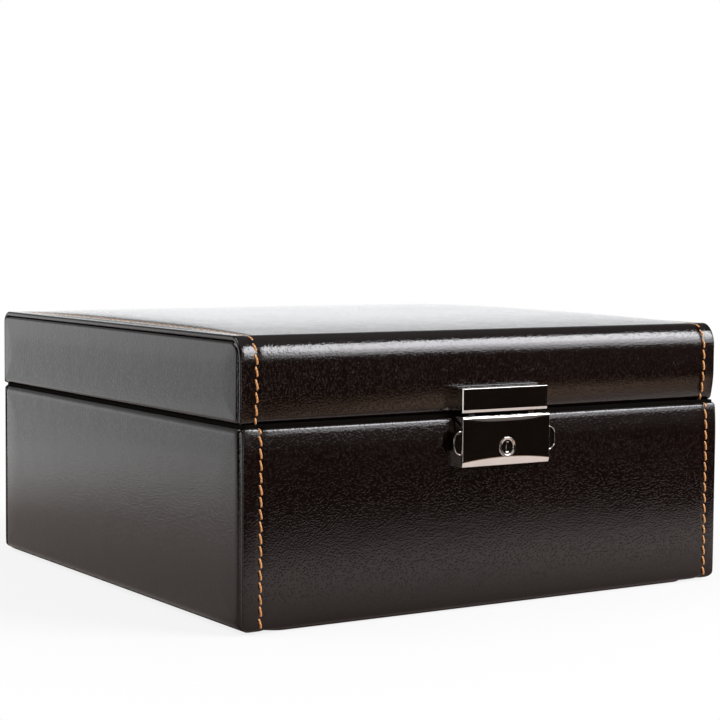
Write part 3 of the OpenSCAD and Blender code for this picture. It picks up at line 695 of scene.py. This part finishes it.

# %% [markdown]
# A strip of nearly black felt lies on the rim of the base. It is painted shade, so that the seam
# reads dark and no light shows through it, and the lid comes down softly on it. It is one section
# carried round the rim, with a small round at each corner, and it stops short of the middle of the
# back, where the hinges are.

# %% The felt strip that paints the seam's shade
def seam_shade_welt():
    corner, ends = 0.8, 88.0
    x, y0, y1 = 105.2, front + 1.6, back - 0.7
    turns = [((-ends, y1), (0, 1))]
    for cx, cy, first in ((-x, y1, 90), (-x, y0, 180), (x, y0, 270), (x, y1, 0)):
        middle = (cx - copysign(corner, cx), cy - corner if cy > 0 else cy + corner)
        for k in range(7):
            a = radians(first + 15 * k)
            way = (cos(a), sin(a))
            turns.append(((middle[0] + corner * way[0], middle[1] + corner * way[1]), way))
    turns.append(((ends, y1), (0, 1)))
    section = [(0, -0.1), (0, 0.85), (0.12, 1.15), (0.45, 1.25), (2.1, 1.25), (2.45, 1.1), (2.6, -0.1)]
    verts = [(p[0] - way[0] * deep, p[1] - way[1] * deep, rim + tall)
             for p, way in turns for deep, tall in section]
    faces = tube_faces(len(turns), len(section))
    # a near-black strip of painted shade in the seam
    piece = mesh_object("seam_shade_welt", verts, faces, seam_shade_felt, smooth=False)
    return dress(piece, "base", "suede")


print("felt strip of", len(seam_shade_welt().data.vertices), "points")

# %% [markdown]
# ## The stitches
# A lockstitch shows as separate short threads. Each one leaves its needle hole, lies slanted
# on the leather, and dives into the next hole. A stitch is swept along a small arch that
# starts and ends under the surface, and all the stitches of one row are one mesh.

# %% Rows of stitches
thread_r = 0.41
hole_gap = 0.08  # leather left bare between two stitches
slant = 0.3  # sideways shift of each end of a stitch
hole_deep = 0.8  # how far the ends of a stitch dive under the leather
arch_tall = 1.1  # how far its middle rises from there
top_sink = 0.42  # on the soft top the thread pulls itself this much deeper


def walk(path, lengths, distance):
    """Point and outward direction at a distance along an outline."""
    for i in range(len(lengths) - 1):
        if distance <= lengths[i + 1]:
            t = (distance - lengths[i]) / max(1e-9, lengths[i + 1] - lengths[i])
            return path[i][0].lerp(path[i + 1][0], t), path[i][1].lerp(path[i + 1][1], t).normalized()
    return path[-1]


def stitch_row(name, path, start, end, pitch, x, body, lean_way, lift, shift):
    """Stitches from one distance along a path to another, at a place across the width."""
    lengths = outline_lengths(path)
    count = max(1, round((end - start) / pitch))
    pitch = (end - start) / count
    sides, rings = 10, 15
    verts, faces, twists = [], [], []
    for k in range(count):
        lo = start + k * pitch + hole_gap / 2 + random.uniform(-0.08, 0.08)
        hi = start + (k + 1) * pitch - hole_gap / 2 + random.uniform(-0.08, 0.08)
        lean = lean_way * slant * random.uniform(0.8, 1.25)
        wander = random.uniform(-0.07, 0.07)
        plump = thread_r * random.uniform(0.94, 1.05)
        first = len(verts)
        for i in range(rings):
            t = i / (rings - 1)
            point, away = walk(path, lengths, lo + (hi - lo) * t)
            arch = sin(pi * t) ** 0.35
            across = lean * sin(pi * (t - 0.5)) + wander
            pad = lift(x, point, away) - top_sink * max(0.0, away.y)
            height = -valley_deep - hole_deep + arch_tall * arch + pad
            r = plump * (0.75 + 0.25 * sin(pi * t) ** 0.4)
            spot = point + away * height + shift(x, point.x, point.y)
            for j in range(sides):
                a = 2 * pi * j / sides
                out = away * (0.8 * r * sin(a))
                verts.append((x + across + r * cos(a), spot.x + out.x, spot.y + out.y))
                twists.append((t * (hi - lo), 3.0 * j / sides))
        faces += tube_faces(rings, sides, first)
    piece = mesh_object(name, verts, faces, orange_thread)
    layer = piece.data.uv_layers.new(name="twist")
    for loop in piece.data.loops:
        layer.data[loop.index].uv = twists[loop.vertex_index]
    dress(piece, body, "suede")
    return count


lid_length, base_length = outline_lengths(lid_path)[-1], outline_lengths(base_path)[-1]
front_tall = rim - skirt
# (name, body, outline, start, end, pitch, seams, lean, lift, shift)
sewn_rows = (
    ("lid_stitches", "lid", lid_path, 5.4, lid_length - 7.5, 4.3,
     lid_seams, -1, lid_lift, lid_shape),
    ("base_front_stitches", "base", base_path, 4.6, 4.6 + front_tall + 1.2, 4.07,
     base_seams, 1, no_lift, base_shape),
    ("base_back_stitches", "base", base_path, base_length - 5.2 - front_tall, base_length - 4.2,
     4.07, base_seams, -1, no_lift, base_shape),
)
stitch_counts = {}
for hand, word in hands:
    for name, body, path, start, end, pitch, seams, lean, lift, shift in sewn_rows:
        x = hand * (wrap - seams[hand > 0])
        stitch_counts[f"{name}_{word}"] = stitch_row(
            f"{name}_{word}", path, start, end, pitch, x, body, lean, lift, shift)
print("stitches", stitch_counts)

# %% [markdown]
# ## The lock
# The lower plate is a polished pillow with flat bevels, sunk round a ring for the key. Each
# column of its grid gets its own heights, so that the rows follow the edge where the bevel
# meets the swell. That edge is curved on the real plate, and it is what makes it look soft.

# %% The swelling face of the lock case
case_lo, case_hi = node_box("lock_case")
proud = 4.95  # the face of the case stands this far out from the leather
case_half = case_hi.x
case_low, case_top = case_lo.z + 0.4, case_hi.z + 0.05
key = Vector((0.0, case_lo.z + 6.9))
swell_across = 0.34
low_slope, low_edge_out = 0.24, 4.25  # the lowest strip of the face bends inwards
top_slope, top_strip = 0.33, 0.7
soft_from, soft_r = 2.7, 14.5  # above this the middle of the face curls over


def pillow(x, z):
    """How far the swelling face stands out from the leather at a place."""
    u = (x / case_half) ** 2
    curl = max(0.0, z - (case_top - soft_from)) ** 2 / (2 * soft_r)
    return proud - swell_across * u - (1 - u) * curl


def face_out(x, z):
    """The face with its lower and upper strips."""
    high = case_top - top_strip
    if z > high:
        return pillow(x, high) - top_slope * (z - high)
    return min(pillow(x, z), low_edge_out + low_slope * (z - case_low))


def face_heights(x):
    """Rows for one column, crowded where the strips meet the face."""
    meet = case_low + (pillow(x, case_low + 2.5) - low_edge_out) / low_slope
    high = case_top - top_strip
    found = [case_low + 0.05, case_low + 0.2]
    found += [case_low + 0.2 + (meet - 0.3 - case_low) * i / 4 for i in range(1, 5)]
    found += [meet - 0.04, meet + 0.04]
    found += [meet + 0.04 + (high - 0.08 - meet) * (i / 30) for i in range(1, 30)]
    return found + [high - 0.04, high + 0.04, high + 0.3, high + 0.6, case_top - 0.2, case_top - 0.05]


def lock_face(name):
    edge = [(-case_half, 0.34), (-case_half + 0.05, 0.1), (-case_half + 0.16, 0.0)]
    inner = [-case_half + 0.22 + (2 * case_half - 0.44) * i / 48 for i in range(49)]
    columns = edge + [(x, 0.0) for x in inner] + [(-x, d) for x, d in reversed(edge)]
    verts = []
    for x, down in columns:
        heights = face_heights(x)
        outs = [face_out(x, z) - down for z in heights]
        row = [(case_low, 0.0), (case_low, outs[0] - 0.1)] + list(zip(heights, outs))
        row += [(case_top, outs[-1] - 0.1), (case_top, 0.0)]
        verts += [(x, front - max(0.0, out), z) for z, out in row]
    rows = len(verts) // len(columns)
    faces = grid_faces(len(columns), rows) + end_caps(rows, len(verts))
    return mesh_object(name, verts, faces, black_nickel)


case_face = lock_face("lock_case_plate")
print("lock face", len(case_face.data.vertices), "points")

# %% [markdown]
# The ring round the key and the barrel in it are turned parts, so they are made by spinning
# a profile. The face of the barrel carries only the slot that a key needs.

# %% Turned pieces
def turned(name, profile, x, z, material, count=72):
    """Profile of (radius, distance out from the leather), spun round an axis along Y."""
    verts = []
    for r, out in profile:
        for i in range(count):
            a = 2 * pi * i / count
            verts.append((x + r * cos(a), front - out, z + r * sin(a)))
    return mesh_object(name, verts, tube_faces(len(profile), count), material)


def eased(points, r=0.12):
    """A profile with each inner corner cut into a short curve."""
    found = [points[0]]
    for a, b, c in zip(points, points[1:], points[2:]):
        a, b, c = Vector(a), Vector(b), Vector(c)
        u, v = (a - b), (c - b)
        k = min(r, u.length * 0.45, v.length * 0.45)
        p, q = b + u.normalized() * k, b + v.normalized() * k
        for t in (0.0, 0.5, 1.0):
            found.append(tuple(p.lerp(b, t).lerp(b.lerp(q, t), t)))
    found.append(points[-1])
    return found


def bake(piece):
    """Applies a piece's modifiers to its mesh."""
    seen = bpy.context.evaluated_depsgraph_get()
    mesh = bpy.data.meshes.new_from_object(piece.evaluated_get(seen))
    piece.modifiers.clear()
    piece.data = mesh


def cut_box(piece, centre, size, turn=0.0):
    """Sinks a slot into a piece, square or turned about Z."""
    bpy.ops.mesh.primitive_cube_add(size=1, location=[c * mm for c in centre])
    cutter = bpy.context.object
    cutter.scale = [s * mm for s in size]
    cutter.rotation_euler.z = radians(turn)
    bpy.context.view_layer.update()
    change = piece.modifiers.new("slot", "BOOLEAN")
    change.operation, change.object, change.solver = "DIFFERENCE", cutter, "EXACT"
    bake(piece)
    bpy.data.objects.remove(cutter, do_unlink=True)


flush = pillow(0, key.y)  # the face of the case where the key goes in
ring_profile = [(3.62, 2.4), (3.62, flush + 0.2), (3.52, flush + 0.3), (3.42, flush + 0.3),
                (2.75, flush + 0.2), (2.6, flush + 0.05), (2.6, 2.4)]
barrel_profile = [(2.5, 2.2), (2.5, flush - 0.22), (2.3, flush - 0.04), (2.1, flush), (0.001, flush)]
ring = turned("lock_key_ring", eased(ring_profile, 0.05), key.x, key.y, black_nickel)
barrel = turned("key_barrel_turned", eased(barrel_profile, 0.06), key.x, key.y, black_nickel)
cut_box(barrel, (key.x, front - flush - 0.1, key.y), (0.85, 0.85, 3.2), 45)
cut_box(barrel, (key.x, front - flush, key.y), (0.35, 3.0, 2.6))

# two slots in the top of the case let the prongs of the tongue in
tongue_lo, tongue_hi = node_box("catch_tongue")
prong_wide = 2.7
prong_y = (tongue_lo.y + tongue_hi.y) / 2
for hand in (-1, 1):
    cut_box(case_face, (hand * (tongue_hi.x - prong_wide / 2), prong_y, case_top),
            (prong_wide + 0.5, tongue_hi.y - tongue_lo.y + 0.8, 5.0))
dress(case_face, "base", "black_nickel", "lock_case")
dress(ring, "base", "black_nickel")
dress(barrel, "key_barrel", "black_nickel", "key_barrel")
print("key at", [round(c, 2) for c in key], "and its face", round(flush, 2), "mm out")

# %% [markdown]
# The two squeeze tabs are flat D-shaped plates that are pushed in to open the lid. A thin
# raised rim round each one catches the light and its face stays dark, so a tab is a stack of
# shrinking copies of its D: the side, over the rim, and down to the face.

# %% Squeeze tabs
tab_lo = node_box("left_tab")[0]
tab_mid = case_lo.z + 9.15
tab_tall, tab_r = 8.6, 2.8
tab_out = 4.0
# (in from the outline, under the top of the rim)
tab_layers = ((0.0, 0.75), (0.0, 0.14), (0.05, 0.05), (0.13, 0.0),
              (0.21, 0.05), (0.26, 0.14), (0.3, 0.16), (0.9, 0.16))


def tab_piece(name, hand):
    x_in, x_out = case_half - 2.0, -tab_lo.x

    def shape(gap):
        z0, z1, r = tab_mid - tab_tall / 2 + gap, tab_mid + tab_tall / 2 - gap, tab_r - gap
        points = [(x_in, z0)]
        points += [tuple(p) for p, _ in arc_points((x_out - gap - r, z0 + r), r, -90, 0, 0.25)]
        points += [tuple(p) for p, _ in arc_points((x_out - gap - r, z1 - r), r, 0, 90, 0.25)]
        return points + [(x_in, z1)]

    verts = []
    for gap, under in tab_layers:
        verts += [(hand * x, front - (tab_out - under), z) for x, z in shape(gap)]
    count = len(verts) // len(tab_layers)
    faces = tube_faces(len(tab_layers), count)
    faces = flipped(faces) if hand < 0 else faces
    return mesh_object(name, verts, faces, black_nickel, smooth=False)


for hand, word in hands:
    piece = tab_piece(f"{word}_squeeze_tab", hand)
    dress(piece, f"{word}_tab", "black_nickel", f"{word}_tab")
print("tabs", tab_tall, "mm tall, out to", round(-tab_lo.x, 2))

# %% [markdown]
# The catch block above is a plain polished bar. Its broad bevels are what shows, so it is a
# stack of rectangles, each a little smaller than the last.

# %% Catch block
catch_lo, catch_hi = node_box("catch_block")
catch_out = 3.75  # its face, out from the front of the base
catch_low, catch_high = catch_lo.z + 0.15, catch_hi.z


def catch_piece():
    x, z0, z1, e = catch_hi.x, catch_low, catch_high, 0.05
    # (out, in from the sides, up from below, down from above), from the wall to the face
    steps = [(-2.9, 0, 0, 0), (catch_out - 0.34, 0, 0, 0), (catch_out - 0.28, e, e, e),
             (catch_out - 0.2, 0.09, 0.25, 0.07), (catch_out - 0.1, 0.14, 0.65, 0.16),
             (catch_out - 0.03, 0.2, 0.9, 0.25), (catch_out, 0.26, 1.0, 0.3)]
    verts = []
    for out, d, low, high in steps:
        corners = ((-x + d, z0 + low), (x - d, z0 + low), (x - d, z1 - high), (-x + d, z1 - high))
        verts += [(across, front - out, z) for across, z in corners]
    faces = flipped(tube_faces(len(steps), 4))
    return mesh_object("catch_block_bar", verts, faces, black_nickel, smooth=False)


def catch_lip():
    """The cut edge of the lid's leather, pushed up into a thin ridge over the catch block."""
    verts, sides = [], 8
    count = 90
    for i in range(count + 1):
        x = -catch_hi.x + 2 * catch_hi.x * i / count
        wobble = noise.noise(Vector((x * 0.9, 3.1, 0.0)))
        r = 0.24 + 0.1 * noise.noise(Vector((x * 0.7, 0.0, 5.0)))
        r *= min(1, 0.25 + min(i, count - i) / 4)
        for k in range(sides):
            a = 2 * pi * k / sides
            verts.append((x, lid_front - 0.12 - r * cos(a) + 0.08 * wobble,
                          catch_high + 0.28 + 0.1 * wobble + r * sin(a)))
    faces = tube_faces(count + 1, sides)
    return mesh_object("catch_leather_lip", verts, faces, glossy_leather)


dress(catch_lip(), "lid", "dark_leather")
dress(catch_piece(), "lid", "black_nickel", "catch_block")
print("catch block from", [round(c, 2) for c in catch_lo], "to", [round(c, 2) for c in catch_hi])

# %% [markdown]
# ## Inside the box
# The cushions are foam blocks wrapped in suede. Nothing but the foam shapes them, so each one
# starts as a box of many small faces whose corners are pulled in, swells on top, and draws in
# a little half way up its sides.

# %% Soft blocks of foam under suede
def soft_block(name, node, corner, swell, body, up=1, cuts=14):
    """A suede cushion in the place of a CAD node. It swells upwards, or down where up is -1."""
    lo, hi = node_box(node)
    half, middle = (hi - lo) / 2, (hi + lo) / 2
    mesh = bmesh.new()
    bmesh.ops.create_cube(mesh, size=2)
    bmesh.ops.subdivide_edges(mesh, edges=mesh.edges[:], cuts=cuts, use_grid_fill=True)
    for v in mesh.verts:
        p = Vector([copysign(1 - (1 - abs(c)) ** 1.6, c) for c in v.co])
        q = Vector((p.x * half.x, p.y * half.y, p.z * half.z))
        core = Vector([max(-h + corner, min(h - corner, c)) for c, h in zip(q, half)])
        gap = q - core
        if gap.length > 1e-9:
            q = core + gap.normalized() * min(corner, gap.length) if gap.length > corner else q
        lift = (1 - p.x ** 4) * (1 - p.y ** 4)
        if up * p.z > 0:
            q.z += up * swell * (lift - 1) * abs(p.z)
        drawn_in = 1 - 0.012 * (1 - p.z ** 2)
        q.x, q.y = q.x * drawn_in, q.y * drawn_in
        v.co = (q + middle) * mm
    data = bpy.data.meshes.new(name)
    mesh.to_mesh(data)
    mesh.free()
    data.materials.append(lining_suede)
    data.polygons.foreach_set("use_smooth", [True] * len(data.polygons))
    return dress(new_object(name, data), body, "suede", node)


for row in ("front", "middle", "back"):
    for column in ("left", "middle", "right"):
        node = "pad_middle" if row == column == "middle" else f"pad_{row}_{column}"
        soft_block(f"{node}_cushion", node, 4.0, 3.0, "base")
lid_pad = soft_block("lid_cushion_pad", "lid_cushion", 2.6, 2.4, "lid", up=-1, cuts=24)
print("nine watch pads, and a lid cushion of", len(lid_pad.data.vertices), "points")

# %% [markdown]
# The sheet under the box is thin suede with rounded corners, and the liners are suede
# on card. Both are flat, with edges that are only just soft, so a rounded plate does. The
# leather of the rims is turned over the edges of the side boards, so that no bare wood shows
# in the open box, and that takes a thin plate too.

# %% Thin suede plates
def plate(name, outline, z0, z1, ease, material):
    """A flat piece with a soft rim, from an (x, y) outline round the origin."""
    verts = []
    for gap, z in ((ease, z0), (0.0, z0 + ease), (0.0, z1 - ease), (ease, z1)):
        for p in outline:
            inward = Vector((copysign(gap, p[0]), copysign(gap, p[1])))
            verts.append((p[0] - inward.x, p[1] - inward.y, z))
    return mesh_object(name, verts, tube_faces(4, len(outline)), material, smooth=False)


def round_outline(x, y, r):
    found = []
    for sx, sy, start in ((1, -1, -90), (1, 1, 0), (-1, 1, 90), (-1, -1, 180)):
        centre = (sx * (x - r), sy * (y - r))
        found += [tuple(p) for p, _ in arc_points(centre, r, start, start + 90, 0.6)]
    return found


foot_hi = node_box("foot_sheet")[1]
foot = plate("foot_suede_sheet", round_outline(foot_hi.x, foot_hi.y, 8.0), 0.0, foot_hi.z, 0.2,
             foot_suede)
dress(foot, "base", "suede", "foot_sheet")
floor_lo, floor_hi = node_box("base_floor_liner")
floor_liner = plate("floor_liner_sheet", round_outline(floor_hi.x, floor_hi.y, 0.5),
                    floor_lo.z, floor_hi.z, 0.3, lining_suede)
dress(floor_liner, "base", "suede", "base_floor_liner")

half_edge = 0.12  # half the thickness of a turned edge
for half, level in (("base", rim + 0.1), ("lid", lid_rim - 0.02)):
    for word in ("left", "right"):
        lo, hi = node_box(f"{half}_{word}_board")
        outline = [(lo.x, lo.y), (hi.x, lo.y), (hi.x, hi.y), (lo.x, hi.y)]
        strip = plate(f"{half}_{word}_turned_edge", outline, level - half_edge,
                      level + half_edge, 0.05, glossy_leather)
        dress(strip, half, "dark_leather")
print("foot sheet", [round(2 * c, 1) for c in foot_hi.xy], "mm")

# %% [markdown]
# ## The CAD nodes that stay
# Boards, dividers, hinges, screws and springs have the right shape already. They keep their
# CAD solids and get the finishes made above.

# %% Finishes for the CAD nodes
finish_of = {
    "board": sanded_wood, "suede": lining_suede, "dark_leather": glossy_leather,
    "black_nickel": black_nickel, "steel": plated_steel, "hinge_steel": dark_hardware_and_gap_shade,
    "foam": lining_suede,
}
slots = {entry["node"]: entry["material_slot"] for entry in frame["record"]["subparts"]}
for name, piece in frame["nodes"].items():
    piece.data.materials.clear()
    # the catch tongue takes the darker metal as painted shade, so that it reads dark in the gap
    # between the catch and the lock
    finish = dark_hardware_and_gap_shade if name == "catch_tongue" else finish_of[slots[name]]
    piece.data.materials.append(finish)
print("CAD nodes painted", len(slots))

# %% [markdown]
# ## Floor, light and background
# The photograph is a studio picture on a white sweep. A tall soft box to the front right makes
# the streak along the lid, a white wall behind lights up the top, and the room in front is
# dark, which is why the front looks almost black. To the camera the floor is white paper. In
# the glossy leather it shows painted light: painted shade that darkens it towards the room, a
# painted shadow in a band just in front of the box, and a warm tint of painted bounce light from
# the box; at its far left edge it glows as bright as the wall behind.

# %% Floor and background
scene = bpy.context.scene
scene.view_settings.view_transform = "Standard"
floor_reach, floor_centre = 0.44, (-0.03, 0.12)  # metres


def floor_finish():
    f = Finish("pale_floor")
    at = f.node("NewGeometry")
    far_off = f.node("VectorMath", {"operation": "LENGTH"}, at * (1, 1, 0), out=1)
    grain = f.speckle(at * 1000, 1.5, 2)
    along_y = f.node("VectorMath", {"operation": "DOT_PRODUCT"}, at * 1.0, (0, 1, 0), out=1)
    # painted shade: in reflections the floor turns nearly black towards the room
    painted_room_shade = f.ramp(-0.18, -0.30, along_y)
    # painted contact shadow: a darker band on the floor just in front of the box
    painted_contact_shadow = f.ramp(-0.19, -0.11, along_y) * f.ramp(-0.06, -0.10, along_y)
    # the warm tint is painted bounce light from the brown box
    paper_bounce_and_shadow = f.mix(grain, (0.92, 0.82, 0.77), (0.95, 0.85, 0.80))
    seen = f.node("LightPath")
    paper_bounce_and_shadow = f.mix(painted_contact_shadow, paper_bounce_and_shadow, (0.5, 0.42, 0.39))
    f.set(Base_Color=f.mix(seen, f.mix(painted_room_shade, paper_bounce_and_shadow, (0.02, 0.014, 0.01)), (0.9, 0.9, 0.9)),
          Roughness=0.75, Specular_IOR_Level=0.1)
    far_edge = f.ramp(0.24, 0.46, far_off) * f.ramp(-0.05, 0.12, along_y)
    glow = f.node("Emission", None, (1, 1, 1), 1.3 - 0.3 * seen)
    to_camera = seen * (0.84 + 0.16 * f.ramp(0.15, 0.27, far_off))
    blend = f.node("MixShader", None, to_camera + (1 - seen) * far_edge,
                   Wire(f, f.shader.outputs[0]), glow)
    f.tree.links.new(blend.socket, f.tree.nodes["Material Output"].inputs["Surface"])
    return f.material


floor_mesh = bpy.data.meshes.new("floor")
rim_turns = [2 * pi * i / 96 for i in range(96)]
floor_mesh.from_pydata(
    [(floor_reach * cos(a) + floor_centre[0], floor_reach * sin(a) + floor_centre[1], 0)
     for a in rim_turns], [], [tuple(range(96))])
floor_mesh.materials.append(floor_finish())
floor = new_object("floor", floor_mesh)
print("floor reaches", floor_reach, "m round", floor_centre)

# %% [markdown]
# The key light stands at the front right. A ray from the camera that meets the front wall
# squarely leaves it a little downwards, so it passes under this lamp and finds the dark room,
# while one that meets the rounding above turns up into the lamp: that is the bright streak.
# The key is a stack of lamps, each weaker than the one above, so that the streak fades instead
# of ending in a line. The narrow strips draw the bright edges of the rims and of the lock.

# %% Lamps and the room round them
def soft_box(name, azimuth, low, high, width, distance, radiance, tint=(1, 1, 1)):
    """A lamp seen from the box between two elevations, at an azimuth from the front to the right."""
    middle = radians((low + high) / 2)
    way = Vector((sin(radians(azimuth)) * cos(middle),
                  -cos(radians(azimuth)) * cos(middle), sin(middle)))
    data = bpy.data.lights.new(name, "AREA")
    tall = 2 * distance * tan(radians((high - low) / 2))
    data.shape, data.size, data.size_y = "RECTANGLE", width, tall
    data.energy, data.color = radiance * pi * width * tall, tint
    lamp = new_object(name, data)
    lamp.location = way * distance + Vector((0, 0, 0.08))
    lamp.rotation_euler = way.to_track_quat("Z", "Y").to_euler()
    lamp.visible_camera = False


cool = (0.96, 0.96, 1.0)
soft_box("key_soft_box", 40, 24, 42, 0.7, 1.3, 15, cool)
soft_box("key_middle", 40, 16, 24, 0.7, 1.3, 9, cool)
soft_box("key_lower_edge", 40, 8, 16, 0.7, 1.3, 4, cool)
soft_box("key_fading_edge", 40, -2, 6, 0.7, 1.3, 0.15)
soft_box("back_left_panel", -143, -2, 22, 0.9, 1.5, 0.3)
soft_box("left_overhead", -105, 38, 64, 0.8, 1.3, 4.0)
soft_box("front_left_strip", -12, 0, 26, 0.25, 1.4, 1.5)
soft_box("front_fill_strip", 17, 1, 22, 0.36, 1.4, 0.6)
soft_box("left_edge_strip", -57, -8, 10, 0.3, 1.4, 3.0)
soft_box("right_edge_strip", 80, -8, 10, 0.2, 1.4, 2.0)


def room():
    """The light from all round, by direction: a wall behind, a ceiling and a dark front."""
    world = bpy.data.worlds.new("room")
    scene.world = world
    world.use_nodes = True
    f = Finish.__new__(Finish)  # the same helpers, on the world's nodes
    f.tree = world.node_tree
    f.tree.nodes.clear()
    way = f.node("TexCoord")
    apart = f.node("SeparateXYZ", None, way).socket.node
    across_x, ahead_y, high = [Wire(f, socket) for socket in apart.outputs]
    wall = 1 - 0.75 * f.ramp(0.085, 0.26, high) - 0.25 * f.ramp(0.35, 0.8, high)
    behind = f.ramp(0.05, 0.5, ahead_y) * wall
    over = f.ramp(0.55, 0.95, high)
    glow = f.ramp(-0.03, 0.14, high) * (1 - f.ramp(-0.5, -0.2, ahead_y))
    low_front = f.ramp(-0.5, -0.8, ahead_y) * f.ramp(-0.16, -0.23, high)
    tint = f.mix(f.ramp(0.0, 0.2, behind + over), (1.0, 0.7, 0.5), (0.98, 0.99, 1.0))
    left_dimmer = 1 - 0.22 * f.ramp(-0.1, -0.5, across_x)
    strength = 0.008 + 1.32 * behind * left_dimmer + 0.35 * over + 0.16 * glow + 1.2 * low_front
    lit = f.node("Background", None, tint, strength)
    seen = f.node("Background", None, (1, 1, 1), 1.0)
    both = f.node("MixShader", None, f.node("LightPath"), lit, seen)
    out = f.tree.nodes.new("ShaderNodeOutputWorld")
    f.tree.links.new(both.socket, out.inputs["Surface"])


room()
